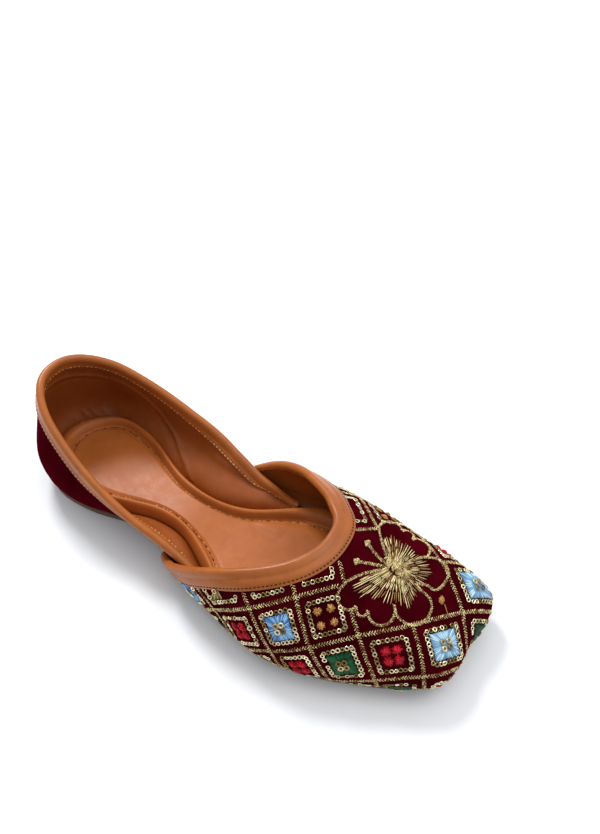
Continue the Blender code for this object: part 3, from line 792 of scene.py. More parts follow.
# %% Lining
vamp_inside = (vamp - calmed(outward(vamp), 2) * upper_wall)[wing_cut:]
vamp_lining = thick(net_piece("vamp_lining", vamp_inside, lining_leather), layer, 1.0)
belongs(vamp_lining, "insole_leather", "upper")
fine = dipped(quarter_net(380, 84))
quarter_inside = pressed(fine - calmed(outward(fine), 3) * upper_wall, INSIDE, -1.0)
quarter_lining = thick(net_piece("quarter_lining", quarter_inside, lining_leather), layer, 1.0)
belongs(quarter_lining, "insole_leather", "upper")

# %% [markdown]
# ## Rolled leather edges
# A strip of leather is sewn to the outside, rolled over the raw edge and sewn
# down inside. A round cord along the edge would be quicker, but the real strip
# is flat, with a soft fold. So its section is drawn at each column of the net:
# down the outside, round the edge in a half circle and down the inside. The
# stitches press two shallow grooves in it.

# %% Fold of the bindings
def fold(net, outer_lengths, inner_lengths, reach, puff):
    """Net of the strip's inner face: outside, round the edge, inside."""
    ways = calmed(outward(net), 2)
    strip = []
    for i in range(len(net)):
        points, out = net[i][::-1], ways[i][::-1]
        run = run_of(points)
        line = []
        for share in np.linspace(1.0, 0.0, 13):
            down = outer_lengths[i] * share
            p, n = at(down, run, points), at(down, run, out)
            # The stitches and the roll each leave a shallow groove.
            swell = puff * math.sin(math.pi * min(1.0, 1.15 * (1.0 - share) ** 0.8)) * 0.5
            swell -= 0.00028 * math.exp(-((1.0 - share) * 12 - 2) ** 2)
            swell -= 0.00028 * math.exp(-((down - 0.0030) / 0.0010) ** 2)
            line.append(p + unit(n) * (reach + max(-0.6 * reach, swell)))
        top, n = points[0], out[0]
        rise = points[0] - points[1]
        rise = unit(rise - n * np.dot(rise, n))
        radius = 0.5 * upper_wall + reach
        middle = top - n * 0.5 * upper_wall
        for turn in range(18, 180, 18):
            angle = math.radians(turn)
            line.append(middle + n * radius * math.cos(angle) + rise * radius * math.sin(angle))
        for share in np.linspace(0.0, 1.0, 11):
            down = inner_lengths[i] * share
            p, n = at(down, run, points), at(down, run, out)
            press = 0.00014 * math.exp(-((1.0 - share) * 10 - 2) ** 2)
            press += 0.00030 * math.exp(-((down - 0.0026) / 0.0010) ** 2)
            line.append(p - unit(n) * (upper_wall + reach - min(press, 0.8 * reach)))
        strip.append(line)
    return np.array(strip)[:, ::-1, :]


def slant(net):
    """How much longer a column runs than the way straight off its edge."""
    edge = unit(np.gradient(net[:, -1], axis=0))
    down = unit(net[:, -1] - net[:, -8])
    return 1.0 / np.maximum(0.7, np.linalg.norm(np.cross(edge, down), axis=1))


def eased(lengths, times=24):
    """Lengths made shorter where they would change suddenly."""
    lengths = np.array(lengths, dtype=float)
    for _ in range(times):
        ends = np.concatenate([lengths[:1], lengths, lengths[-1:]])
        lengths = np.minimum(lengths, 0.34 * ends[:-2] + 0.33 * ends[1:-1] + 0.33 * ends[2:])
    return lengths


def length_above(column, level):
    """How far down a column runs from its top to this height."""
    points = column[::-1]
    return max(0.0, float(np.interp(-level, -points[:, 2], run_of(points))))

# %% Vamp binding
outer, inner = [], []
for column, longer in zip(vamp, slant(vamp)):
    whole = length_above(column, seat + 0.4 * (column[-1, 2] - seat))
    outer.append(min(vamp_binding_width * longer, whole))
    near_end = float(smooth_step((column[-1, 0] - along(0.47)) / (0.09 * shoe_length)))
    inner.append(min(0.4 * whole, 0.0012) + near_end * 0.6 * vamp_binding_width)
vamp_binding_foot = eased(outer)
vamp_fold = fold(vamp, vamp_binding_foot, eased(inner), binding_gap, 0.0002)[wing_cut:]
strip_wall = 0.8 * binding_wall
PARED = {"rows": vamp_fold.shape[1], "shares": [0.42, 0.72, 0.92, 1.0]}
vamp_binding = thick(net_piece("vamp_binding_strip", vamp_fold, edge_leather),
                     strip_wall, skived=PARED)
belongs(vamp_binding, "tan_edge_leather", "vamp_binding")

# %% Quarter binding
outer_share, inner_share = 0.8, 0.70
outer, inner = [], []
for column in quarter:
    free = length_above(column, insole_top + fit_gap)
    in_lap = float(smooth_step((column[-1, 0] - along(0.38)) / (0.05 * shoe_length)))
    outer.append(outer_share * quarter_binding_width * (1 - 0.8 * in_lap))
    inner.append(max(0.0006, min(free, inner_share * quarter_binding_width)))
quarter_fold = fold(quarter, eased(outer), eased(inner), fit_gap, 0.0003)
quarter_binding = thick(net_piece("quarter_binding_strip", quarter_fold, edge_leather),
                        strip_wall, skived=PARED)
belongs(quarter_binding, "tan_edge_leather", "quarter_binding")

# %% [markdown]
# ## Sole
# The sole is one thickness of hard leather, cut to the outline of the upper
# with a hair's breadth to spare, and its edges are rounded with a burnisher.
# A box could be pushed into this shape, but its corners would stay. So a flat
# circle takes the outline's points, is drawn up to its thickness, and a small
# bevel does the work of the burnisher.

# %% Outline of the sole
def ring_of(points, count):
    """A closed ring of evenly spaced points."""
    closed = np.vstack([points, points[:1]])
    run = run_of(closed)
    return at(np.linspace(0.0, run[-1], count, endpoint=False), run, closed)


def area_of(ring):
    """Area in a ring, below 0 if it runs the way a clock's hands do."""
    ahead = np.roll(ring, -1, axis=0)
    return 0.5 * np.sum(ring[:, 0] * ahead[:, 1] - ring[:, 1] * ahead[:, 0])


def against_clock(ring):
    """The ring, run against the clock."""
    return ring if area_of(ring) > 0 else ring[::-1]


def relaxed(ring, times):
    """The ring, with its corners softened."""
    for _ in range(times):
        ring = 0.5 * ring + 0.25 * (np.roll(ring, 1, axis=0) + np.roll(ring, -1, axis=0))
    return ring


def grown(ring, distance):
    """The ring, moved outwards by a distance."""
    run = unit(np.roll(ring, -1, axis=0) - np.roll(ring, 1, axis=0))
    return ring + np.stack([run[:, 1], -run[:, 0]], axis=1) * distance


behind = quarter[quarter[:, 0, 0] < along(0.37), 0, :2]
before = vamp[vamp[:, 0, 0] > along(0.41), 0, :2]
outline = against_clock(relaxed(ring_of(np.vstack([behind, before]), 360), 16))
print("sole outline", len(outline), "points,", round(area_of(outline) * 1e4, 1), "cm2")

# %% Sole from a circle
outsole = fresh(bpy.ops.mesh.primitive_circle_add, vertices=len(outline), radius=0.1,
                fill_type="NGON")
outsole.name = outsole.data.name = "outsole_leather"
for vertex, place in zip(outsole.data.vertices, grown(outline, sole_edge)):
    vertex.co = (place[0], place[1], 0.0)
bpy.ops.object.mode_set(mode="EDIT")
bpy.ops.mesh.select_all(action="SELECT")
bpy.ops.mesh.extrude_region_move(TRANSFORM_OT_translate={"value": (0.0, 0.0, sole_thickness)})
bpy.ops.mesh.select_all(action="SELECT")
bpy.ops.mesh.normals_make_consistent(inside=False)
bpy.ops.object.mode_set(mode="OBJECT")
rounding = outsole.modifiers.new("burnished_edge", "BEVEL")
rounding.width = 0.0009
rounding.segments = 3
rounding.limit_method = "ANGLE"
rounding.angle_limit = math.radians(50)
apply_all(outsole)
bpy.ops.object.mode_set(mode="EDIT")
bpy.ops.mesh.select_all(action="SELECT")
bpy.ops.mesh.quads_convert_to_tris(quad_method="BEAUTY", ngon_method="BEAUTY")
bpy.ops.object.mode_set(mode="OBJECT")
for vertex in outsole.data.vertices:
    vertex.co.z += float(lift(vertex.co.x))
bpy.ops.object.shade_smooth_by_angle(angle=math.radians(40))
outsole.data.materials.append(sole_leather)
belongs(outsole, "sole_leather", "outsole")

# %% [markdown]
# ## Padded insole
# A sock of thin leather over foam lies on the sole. A seam in the shape of an
# hourglass holds the foam down and leaves a soft roll outside it, all round.
# It could be sculpted by hand, but then it would not keep to the inside of the
# walls if a size is changed. So the surface is drawn as rings, from the edge
# in to the middle line, and each ring has its own height.

# %% Edge and seam of the insole
def inside_ring(level):
    """Outline of the space inside the upper at this height."""
    found = []
    for net, keep in ((quarter, None), (vamp, along(0.60))):
        wall = net - calmed(outward(net), 2) * (upper_wall + 2.5 * fit_gap)
        for column in wall:
            flat_z = column[:, 2] - lift(column[:, 0])
            order = np.argsort(flat_z)
            x, y = (np.interp(level, flat_z[order], column[order, k]) for k in (0, 1))
            if keep is None:
                found.append((x, y))
            elif x > keep:
                found.append((x - 0.0012 * float(smooth_step((x - along(0.8)) / 0.03)), y))
    ring = against_clock(relaxed(ring_of(np.array(found), 300), 10))
    at_heel = 1.0 - smooth_step((ring[:, 0] - along(0.06)) / 0.030)
    return grown(ring, -0.0003 - 0.0012 * at_heel[:, None])


# Places of the seam, as shares of the length and of the ball's width.
SEAM = [(0.067, -0.023), (0.116, -0.252), (0.215, -0.236), (0.341, -0.123), (0.467, -0.183),
        (0.594, -0.397), (0.720, -0.446), (0.830, -0.330), (0.905, -0.130), (0.930, 0.100),
        (0.925, 0.300), (0.860, 0.410), (0.720, 0.345), (0.594, 0.285), (0.467, 0.072),
        (0.341, 0.044), (0.215, 0.165), (0.114, 0.186)]
seam = np.array([(along(a), b * ball_width) for a, b in SEAM])
seam_ring = through_rows(np.vstack([seam[-2:], seam, seam[:3]]), 20)[40:-40]
seam_ring = against_clock(relaxed(ring_of(seam_ring[:-1], 300), 4))
edge_level = insole_top - 0.0026
edge_ring = inside_ring(edge_level)
print("insole edge from", edge_ring.min(0).round(4), "to", edge_ring.max(0).round(4))

# %% Rings of the insole
def facing_points(edge):
    """For each point of the edge, the middle line's point and the seam's point before it."""
    stations = np.linspace(along(0.10), along(0.88), 61)
    middle_x = stations[np.abs(edge[:, :1] * 0.93 - stations[None]).argmin(axis=1)]
    middle_y = np.interp(middle_x, [along(0.10), along(0.34), along(0.60), along(0.88)],
                         [-0.0020, -0.0035, -0.0040, 0.0120])
    middle = np.stack([middle_x, middle_y], axis=1)
    hits = []
    for e, m in zip(edge, middle):
        way = e - m
        side = (seam_ring[:, 0] - m[0]) * way[1] - (seam_ring[:, 1] - m[1]) * way[0]
        ahead = (seam_ring - m) @ way > 0
        cross = np.where((np.sign(side) != np.sign(np.roll(side, -1))) & ahead)[0]
        k = cross[0] if len(cross) else int(np.argmin(np.linalg.norm(seam_ring - m, axis=1)))
        hits.append(seam_ring[k])
    return middle, relaxed(np.array(hits), 3)


def at_height(ring, height):
    """The ring, with a height added to each of its points."""
    return np.concatenate([ring, np.full((len(ring), 1), height)], axis=1)


middle, seam_points = facing_points(edge_ring)
rings = []
for share in np.linspace(0.0, 1.0, 17):
    roll = math.sin(math.pi * share ** 1.15) ** 0.72 if 0 < share < 1 else 0.0
    rings.append(at_height(edge_ring + (seam_points - edge_ring) * share,
                           edge_level + 0.0050 * roll + 0.0008 * share))
for share in [*np.linspace(0.0, 0.24, 9)[1:], *np.linspace(0.24, 1.0, 12)[1:]]:
    rings.append(at_height(seam_points + (middle - seam_points) * share,
                           insole_top - 0.0018 + 0.0017 * min(1.0, share * 5.0) ** 0.6))
top_net = np.stack(rings, axis=1)
print("insole rings", len(rings))

# %% Soft dents of the insole
SOFT_SPOTS = [Crease(-0.38, 1.2, [(5, 10.0, 12), (10, 10.6, 12), (16, 11.3, 12)]),
              Crease(0.25, 3.0, [(5, 6.0, 12), (10, 6.6, 12), (16, 7.5, 12)]),
              Crease(0.30, 3.5, [(-96, 8, 12), (-99, 0, 12), (-97, -9, 12)]),
              Crease(0.35, 9.0, [(18, -14, 12), (26, -4, 12), (32, 8, 12)]),
              Crease(0.35, 10.0, [(-88, -4, 12), (-78, -3, 12), (-70, -3, 12)])]
for spot in SOFT_SPOTS:
    line = spread(through_rows(np.array(spot.places) * millimetre, 8), 40)[:, :2]
    away = np.linalg.norm(top_net[:, :, None, :2] - line[None, None], axis=3).min(axis=2)
    reach = away / (spot.width * millimetre)
    top_net[:, :, 2] -= spot.depth * millimetre * np.exp(-reach ** 2)
print(len(SOFT_SPOTS), "soft dents and creases in the insole")

# %% Insole from its rings
under = seat + lap_gap + upper_wall + fit_gap
low = at_height(edge_ring, under)
wall_net = np.stack([low + (top_net[:, 0] - low) * k / 4 for k in range(4)], axis=1)
floor_net = np.stack([at_height(middle + (edge_ring - middle) * k / 4, under)
                      for k in range(4)], axis=1)
whole = np.concatenate([floor_net, wall_net, top_net], axis=1)
whole = raised(np.concatenate([whole, whole[:1]], axis=0))
rings_to_seam = 18
insole_line = whole[:, floor_net.shape[1] + wall_net.shape[1] + rings_to_seam].copy()
insole = net_piece("padded_insole", whole, insole_leather)
bpy.ops.object.mode_set(mode="EDIT")
bpy.ops.mesh.select_all(action="SELECT")
bpy.ops.mesh.remove_doubles(threshold=0.00001)
bpy.ops.object.mode_set(mode="OBJECT")
belongs(insole, "insole_leather", "insole")

# %% [markdown]
# ## The vamp cloth laid flat
# The embroiderer works on flat cloth, and the shoemaker pulls it over the
# last afterwards. Pressed down from above, the pattern would be stretched on
# the steep sides. So it is drawn flat here too. The net is laid flat by letting
# short ties between its points pull them to their real distances, and a drawn
# point is then carried back to the same place on the net.

# %% Lay the net flat
def laid_flat(part, turns=400, longest_tie=0.014):
    """The net's points in one plane, as near to their real distances as can be."""
    columns, rows = part.shape[:2]
    edge, foot = part[:, -1, :2], part[:, 0, :2]
    run = unit(np.gradient(foot, axis=0))
    way = unit(foot - edge + 0.012 * np.stack([run[:, 1], -run[:, 0]], axis=1))
    drop = (part[:, -1, 2].max() - part[:, -1, 2])[:, None] * way
    flat = np.array([edge[c] + 0.8 * drop[c] + run_of(part[c][::-1])[::-1, None] * way[c]
                     for c in range(columns)]).reshape(-1, 2)
    solid = part.reshape(-1, 3)
    one, two = [], []
    i, j = np.meshgrid(np.arange(columns), np.arange(rows), indexing="ij")
    for di, dj in ((1, 0), (0, 1), (1, 1), (1, -1), (2, 1), (2, -1), (1, 2), (1, -2),
                   (3, 1), (3, -1), (1, 3), (1, -3), (4, 0), (0, 4)):
        keep = (i + di < columns) & (j + dj < rows) & (j + dj >= 0)
        one.append((i * rows + j)[keep])
        two.append(((i + di) * rows + j + dj)[keep])
    one, two = np.concatenate(one), np.concatenate(two)
    real = np.linalg.norm(solid[one] - solid[two], axis=1)
    short = real < longest_tie
    one, two, real = one[short], two[short], real[short]
    ties = np.bincount(one, minlength=len(flat)) + np.bincount(two, minlength=len(flat))
    for _ in range(turns):
        gap = flat[two] - flat[one]
        now = np.maximum(np.linalg.norm(gap, axis=1), 1e-6)
        pull = gap * ((now - real) / now * 0.5)[:, None]
        move = np.stack([np.bincount(one, pull[:, k], len(flat))
                         - np.bincount(two, pull[:, k], len(flat)) for k in (0, 1)], axis=1)
        flat = flat + 1.2 * move / ties[:, None]
    plan = solid[:, :2]
    a, b = flat - flat.mean(0), plan - plan.mean(0)
    turn, _, other = np.linalg.svd(a.T @ b)
    print("cloth laid flat, mean stretch", round(float(np.abs(now / real - 1).mean()), 3))
    return (a @ (turn @ other) + plan.mean(0)).reshape(columns, rows, 2)


# Every fourth column and every third row of the vamp is enough for the flat cloth.
STEP = (4, 3)
flat_cloth = laid_flat(vamp[::STEP[0], ::STEP[1]])

# %% [markdown]
# ## The lattice
# Gold braid crosses the cloth in two sets of lines, and the squares between them are the unit of
# the whole design. An even ruled lattice would be simpler, but the real one is drawn by hand and
# pulled a little askew. So a few crossings are placed on the net, and a smooth sheet through them
# gives every other place. A point such as (0.5, 2.5) is the middle of a square.

# %% Crossings of the gold lines
Crossing = namedtuple("Crossing", "line row across up")
CROSSINGS = [Crossing(*row) for row in (
    (-3, 1, 0.153, 0.385), (-2, 1, 0.209, 0.661), (-2, 2, 0.241, 0.299),
    (-1, 1, 0.285, 0.776), (-1, 2, 0.291, 0.407), (0, 1, 0.406, 0.781),
    (0, 2, 0.367, 0.470), (0, 3, 0.368, 0.152), (1, -1, 0.774, 0.624),
    (1, 0, 0.645, 0.766), (1, 1, 0.532, 0.663), (1, 2, 0.459, 0.445),
    (1, 3, 0.425, 0.184), (2, 1, 0.594, 0.458), (2, 2, 0.532, 0.253),
)]
print(len(CROSSINGS), "crossings placed by eye")

# %% A smooth sheet through the crossings
def read_net(net, across, up):
    """Values of a net at places given as fractions of its columns and rows."""
    c = np.clip(across, 0, net.shape[0] - 1.0001)
    r = np.clip(up, 0, net.shape[1] - 1.0001)
    i, j = c.astype(int), r.astype(int)
    s, t = (c - i)[:, None], (r - j)[:, None]
    return ((net[i, j] * (1 - s) + net[i + 1, j] * s) * (1 - t)
            + (net[i, j + 1] * (1 - s) + net[i + 1, j + 1] * s) * t)


last_column = (len(vamp) - 1) / STEP[0]
last_row = (vamp.shape[1] - 1) / STEP[1]
known = np.array([(c.line, c.row) for c in CROSSINGS], dtype=float)
known_flat = read_net(flat_cloth, np.array([c.across for c in CROSSINGS]) * last_column,
                      np.array([c.up for c in CROSSINGS]) * last_row)


def bowl(one, two):
    """How a bent sheet rises from each place, by how far apart two places are."""
    apart = np.linalg.norm(one[:, None] - two[None], axis=2)
    return np.where(apart > 0, apart * apart * np.log(np.maximum(apart, 1e-9)), 0.0)


give = 0.4
plane = np.hstack([np.ones((len(known), 1)), known])
whole = np.block([[bowl(known, known) + give * np.eye(len(known)), plane],
                  [plane.T, np.zeros((3, 3))]])
weights = np.linalg.solve(whole, np.vstack([known_flat, np.zeros((3, 2))]))


def on_flat(places):
    """Places in lattice squares, carried onto the flat cloth."""
    places = np.atleast_2d(np.asarray(places, dtype=float))
    return (bowl(places, known) @ weights[:len(known)]
            + np.hstack([np.ones((len(places), 1)), places]) @ weights[len(known):])


square = np.linalg.norm(on_flat([(1, 1)]) - on_flat([(0, 1)]))
print("one square is", round(float(square) * 1000, 1), "mm")

# %% From the flat cloth back to the shoe
vamp_out = calmed(outward(vamp), 1)
whole_run = np.array([run_of(column)[-1] for column in vamp])


def on_shoe(places, height=0.0):
    """Points, outward directions and a mask of those that show, for places in squares."""
    target = on_flat(places)
    corners = flat_cloth.reshape(-1, 2)
    near = np.concatenate([np.argmin(((part[:, None] - corners[None]) ** 2).sum(2), axis=1)
                           for part in np.array_split(target, max(1, len(target) // 500))])
    c, r = np.divmod(near, flat_cloth.shape[1])
    c, r = c.astype(float), r.astype(float)
    end = len(flat_cloth) - 1
    for _ in range(6):
        miss = target - read_net(flat_cloth, c, r)
        inner_c = np.clip(c, 0.5, end - 0.5)
        inner_r = np.clip(r, 0.5, last_row - 0.5)
        ac = read_net(flat_cloth, inner_c + 0.5, r) - read_net(flat_cloth, inner_c - 0.5, r)
        ar = read_net(flat_cloth, c, inner_r + 0.5) - read_net(flat_cloth, c, inner_r - 0.5)
        area = ac[:, 0] * ar[:, 1] - ac[:, 1] * ar[:, 0]
        c = c + (miss[:, 0] * ar[:, 1] - miss[:, 1] * ar[:, 0]) / area
        r = r + (ac[:, 0] * miss[:, 1] - ac[:, 1] * miss[:, 0]) / area
        c, r = np.clip(c, 0, end), np.clip(r, 0, last_row)
    shown = np.linalg.norm(target - read_net(flat_cloth, c, r), axis=1) < 0.0004
    c, r = c * STEP[0], r * STEP[1]
    points, out = read_net(vamp, c, r), unit(read_net(vamp_out, c, r))
    from_top = np.interp(c, np.arange(len(vamp)), whole_run) * (1 - r / (vamp.shape[1] - 1))
    shown &= from_top > np.interp(c, np.arange(len(vamp)), vamp_binding_foot) + 0.0002
    shown &= points[:, 2] - lift(points[:, 0]) > seat + 0.0008
    shown &= c > wing_cut + 1
    return points + out * height, out, shown


places, _, shown = on_shoe([(i, j) for i in range(-6, 9) for j in range(-4, 7)])
print(int(shown.sum()), "of", len(places), "crossings lie on the vamp")

# %% [markdown]
# ## Threads, sequins and how they are copied
# One stitch and one ring are modelled, and then set down again and again, each with its own place,
# direction and size. Thousands of separate objects would be slow to handle, so all that are alike
# are joined to one mesh. A random number goes with each copy and sets its colour, partly its own
# tone and partly painted glint and shade, so that no two look quite alike.

# %% One stitch and one ring
def shape_of(piece):
    """Corner places and faces of a model, which is then removed."""
    places = np.array([v.co[:] for v in piece.data.vertices])
    faces = [tuple(p.vertices) for p in piece.data.polygons]
    bpy.data.objects.remove(piece)
    return places, faces


fresh(bpy.ops.mesh.primitive_uv_sphere_add, segments=6, ring_count=4, radius=0.5)
bpy.ops.object.mode_set(mode="EDIT")
bpy.ops.mesh.select_all(action="SELECT")
bpy.ops.transform.rotate(value=math.pi / 2, orient_axis="Y", center_override=(0, 0, 0))
bpy.ops.object.mode_set(mode="OBJECT")
stitch_shape = shape_of(bpy.context.object)
ring_shape = shape_of(fresh(bpy.ops.mesh.primitive_torus_add, major_segments=12,
                            minor_segments=4, major_radius=0.34, minor_radius=0.16))
print("stitch", len(stitch_shape[1]), "faces, ring", len(ring_shape[1]), "faces")

# %% Copies
chance = np.random.default_rng(7)


def copies(name, shape, middles, ways, outs, sizes, look, slot):
    """Joined copies of a shape: ways are their lengths' directions, sizes (long, wide, high)."""
    places, faces = shape
    ways = unit(ways)
    sides = unit(np.cross(outs, ways))
    outs = np.cross(ways, sides)
    corners = (middles[:, None] + places[None, :, :1] * (ways * sizes[:, :1])[:, None]
               + places[None, :, 1:2] * (sides * sizes[:, 1:2])[:, None]
               + places[None, :, 2:] * (outs * sizes[:, 2:])[:, None]).reshape(-1, 3)
    loops = np.concatenate([np.array(face) for face in faces])
    starts = np.cumsum([0] + [len(face) for face in faces[:-1]])
    count, each = len(middles), len(places)
    number = np.arange(count)[:, None]
    mesh = bpy.data.meshes.new(name)
    mesh.vertices.add(len(corners))
    mesh.vertices.foreach_set("co", corners.ravel())
    mesh.loops.add(len(loops) * count)
    mesh.loops.foreach_set("vertex_index", (loops + number * each).ravel())
    mesh.polygons.add(len(faces) * count)
    mesh.polygons.foreach_set("loop_start", (starts + number * len(loops)).ravel())
    mesh.update(calc_edges=True)
    mesh.validate()
    mesh.polygons.foreach_set("use_smooth", np.ones(len(mesh.polygons), dtype=bool))
    # Each copy's random number sets its colour, partly its own tone and partly painted glint and
    # shade.
    tone_and_glint = mesh.attributes.new("tone_and_glint", "FLOAT", "POINT")
    tone_and_glint.data.foreach_set("value", np.repeat(chance.random(count), each))
    mesh.materials.append(look)
    piece = bpy.data.objects.new(name, mesh)
    bpy.context.scene.collection.objects.link(piece)
    belongs(piece, slot)

# %% Batches of copies
class Batch:
    """Stitches or rings that are set down one after another and then joined."""

    def __init__(self, name, shape, look, slot):
        self.name, self.shape, self.look, self.slot = name, shape, look, slot
        self.rows = []

    def put(self, middles, ways, outs, sizes):
        """Sets down copies, all of one size or each with its own."""
        sizes = np.broadcast_to(sizes, (len(middles), 3))
        self.rows.append(np.hstack([middles, ways, outs, sizes]))

    def join(self):
        """Makes one piece of all that was set down."""
        rows = np.vstack(self.rows)
        copies(self.name, self.shape, rows[:, :3], rows[:, 3:6], rows[:, 6:9], rows[:, 9:],
               self.look, self.slot)

# %% Walking along a drawn line
def walk(line, pitch, jitter=0.0, square=0.0235, finest=0.0008):
    """Places at an even pitch along a line drawn in squares, with the way it runs."""
    line = np.array(line, dtype=float)
    run = run_of(line) * square
    fine = np.linspace(0.0, run[-1], max(2, int(run[-1] / finest)))
    points, outs, shown = on_shoe(at(fine, run, line))
    real = run_of(points)
    where = np.arange(0.5 * pitch, real[-1], pitch)
    if jitter:
        where = where + chance.uniform(-jitter, jitter, len(where))
    spot, out = at(where, real, points), at(where, real, outs)
    way = at(where, real, np.gradient(points, axis=0))
    keep = np.interp(where, real, shown.astype(float)) > 0.99
    keep &= np.linalg.norm(way, axis=1) > 1e-7
    spot, way, out = spot[keep], unit(way[keep]), out[keep]
    return spot, way, unit(out - way * np.sum(way * out, axis=1)[:, None])


spot, way, out = walk([(2, -1), (2, 3)], 0.01)
print(len(spot), "places, 10 mm apart, along one line of the lattice")

# %% [markdown]
# ## Seams of the bindings and the insole
# Each binding is sewn down with small even stitches, dark ones outside and
# pale ones inside, and the padding of the insole is held by a stitched line.
# A dotted line in the finish would do from afar, but each real stitch stands
# up and dips in the leather at both ends, so they are modelled one by one.

# %% Stitches along a seam
def seam(name, line, outs, look, slot, pitch=0.0019, long=0.0013, wide=0.00058):
    """Stitches along a line of points on the leather's face."""
    run = run_of(line)
    where = np.arange(pitch, run[-1] - pitch, pitch)
    spot, out = at(where, run, line), unit(at(where, run, outs))
    way = at(where, run, np.gradient(line, axis=0))
    batch = Batch(name, stitch_shape, look, slot)
    batch.put(spot + out * wide * 0.05, way, out, (long, wide, wide * 0.8))
    batch.join()


def face_line(strip, row, height):
    """A row of a binding's net, raised to its outer face."""
    ways = -calmed(outward(strip), 2)[:, row]
    return strip[:, row] + ways * height, ways


seam("vamp_seam", *face_line(vamp_fold, -3, strip_wall), dark_linen, "tan_edge_leather")
seam("quarter_seam", *face_line(quarter_fold, -4, strip_wall), dark_linen,
     "tan_edge_leather", 0.0021, 0.0013, 0.00045)
for name, strip in (("vamp_inner_seam", vamp_fold), ("quarter_inner_seam", quarter_fold)):
    seam(name, *face_line(strip, 2, strip_wall), beige_linen,
         "tan_edge_leather", 0.0021, 0.0014, 0.0005)
seam("insole_seam", insole_line, np.tile((0.0, 0.0, 1.0), (len(insole_line), 1)),
     tan_linen, "insole_leather", 0.0021, 0.0015, 0.0007)

# %% [markdown]
# ## Gold braid of the lattice
# Each line of the lattice is a flat braid of metal thread about two
# millimetres wide. A ribbon with a relief would stay dull, because the glitter
# comes from the slant of every strand. So it is laid as two rows of short
# slanting stitches that meet in the middle like the barbs of a feather.

# %% Braid
gold_stitches = Batch("gold_braid", stitch_shape, gold_thread, "maroon_velvet")


def braid(line, width=0.0021, pitch=0.00122, batch=gold_stitches):
    """Two rows of slanting stitches along a line drawn in squares."""
    spot, way, out = walk(line, pitch, jitter=0.00008)
    side = np.cross(out, way)
    for turn in (-1.0, 1.0):
        lean = way * 0.62 + side * turn * (0.80 + chance.uniform(-0.2, 0.2, (len(way), 1)))
        middle = spot + way * turn * pitch * 0.22 + side * turn * width * 0.22 + out * 0.00028
        middle = middle + side * chance.normal(0.0, 0.00006, (len(way), 1))
        long = width * chance.uniform(0.58, 0.82, (len(way), 1))
        batch.put(middle, lean, out, np.hstack([long, np.full_like(long, 0.00040),
                                                np.full_like(long, 0.0006)]))

# %% Lines of the lattice
def straight(a, b, steps=24):
    """Points along a straight line in squares."""
    return np.linspace(a, b, steps)


# The lines and rows that the butterfly interrupts, as (from, to, steps).
BROKEN_LINES = {0: [(-4, 0.98, 50), (1.47, 6, 50)], 1: [(-4, -0.02, 50), (2.0, 6, 50)]}
BROKEN_ROWS = {0: [(-7, 0.98, 80), (1.86, 9, 80)], 1: [(-7, -0.14, 80), (2, 9, 80)]}
for line in range(-6, 9):
    for start, end, steps in BROKEN_LINES.get(line, [(-5, 6, 120)]):
        braid(straight((line, start), (line, end), steps))
for row in range(-4, 7):
    for start, end, steps in BROKEN_ROWS.get(row, [(-7, 9, 160)]):
        braid(straight((start, row), (end, row), steps))
gold_stitches.join()

# %% [markdown]
# ## Squares of the lattice
# Every square holds a frame of small cupped rings, and in it a satin patch
# with a cluster of rings, or four silk knots. The colours could be dealt out
# by chance, but the real shoe has an order. So each square's kind is listed as
# it is seen, and goes on in the same order where it is not seen.

# %% What each square holds
SQUARES = {
    (0, 2): "red", (1, 2): "sky", (-1, 2): "green", (-2, 2): "red", (2, 2): "green",
    (-2, 1): "blue", (-1, 1): "tan", (-3, 1): "red", (2, 1): "sky", (3, 1): "red",
    (-3, 0): "olive", (-4, 0): "blue", (-2, 0): "frame", (-1, 0): "frame", (2, 0): "red",
    (0, -1): "frame", (1, -1): "tan", (2, -1): "sky", (3, 0): "green", (1, -2): "olive",
    (0, 3): "green", (1, 3): "red", (2, 3): "sky", (-1, 3): "red", (3, 2): "red",
    (2, -2): "red", (3, -1): "red", (0, -2): "frame", (3, -2): "green", (1, -3): "blue",
    (2, -3): "red", (0, -3): "frame", (-4, 1): "green", (-3, 2): "green", (-5, 0): "red",
    (-4, -1): "red", (-5, -1): "blue", (4, 0): "blue", (4, 1): "green", (4, -1): "red",
}
SKIPPED_SIDES = {(-1, 0): ("left",), (-2, 0): ("right",), (0, -1): ("left",)}
for kind in sorted(set(SQUARES.values())):
    print(kind, list(SQUARES.values()).count(kind), "squares")

# %% Frames of rings
rings = Batch("sequin_rings", ring_shape, sequin_metal, "maroon_velvet")


def lay_rings(line, pitch=0.00205, size=0.0025):
    """Rings side by side, each a little turned, and a few missing."""
    spot, way, out = walk(line, pitch, jitter=0.00012)
    kept = chance.random(len(way)) > 0.015
    spot, way, out = spot[kept], way[kept], out[kept]
    tilt = chance.normal(0.0, 0.19, (len(way), 3))
    side = np.cross(out, way)
    out = unit(out + way * tilt[:, :1] + side * tilt[:, 1:2])
    big = size * (1 + 0.2 * tilt[:, 2:])
    rings.put(spot + out * 0.0004, way, out, np.hstack([big, big, np.full_like(big, 0.0016)]))


def frame_sides(i, j, reach=0.315):
    """Ends of the four sides of a square's frame."""
    x, y = i + 0.5, j + 0.5
    return {"left": ((x - reach, y + reach), (x - reach, y - reach)),
            "top": ((x - reach, y - reach), (x + reach, y - reach)),
            "right": ((x + reach, y - reach), (x + reach, y + reach)),
            "foot": ((x + reach, y + reach), (x - reach, y + reach))}


for i, j in SQUARES:
    for name, (a, b) in frame_sides(i, j).items():
        if name not in SKIPPED_SIDES.get((i, j), ()):
            lay_rings(straight(a, b))
print(sum(len(row) for row in rings.rows), "rings laid")

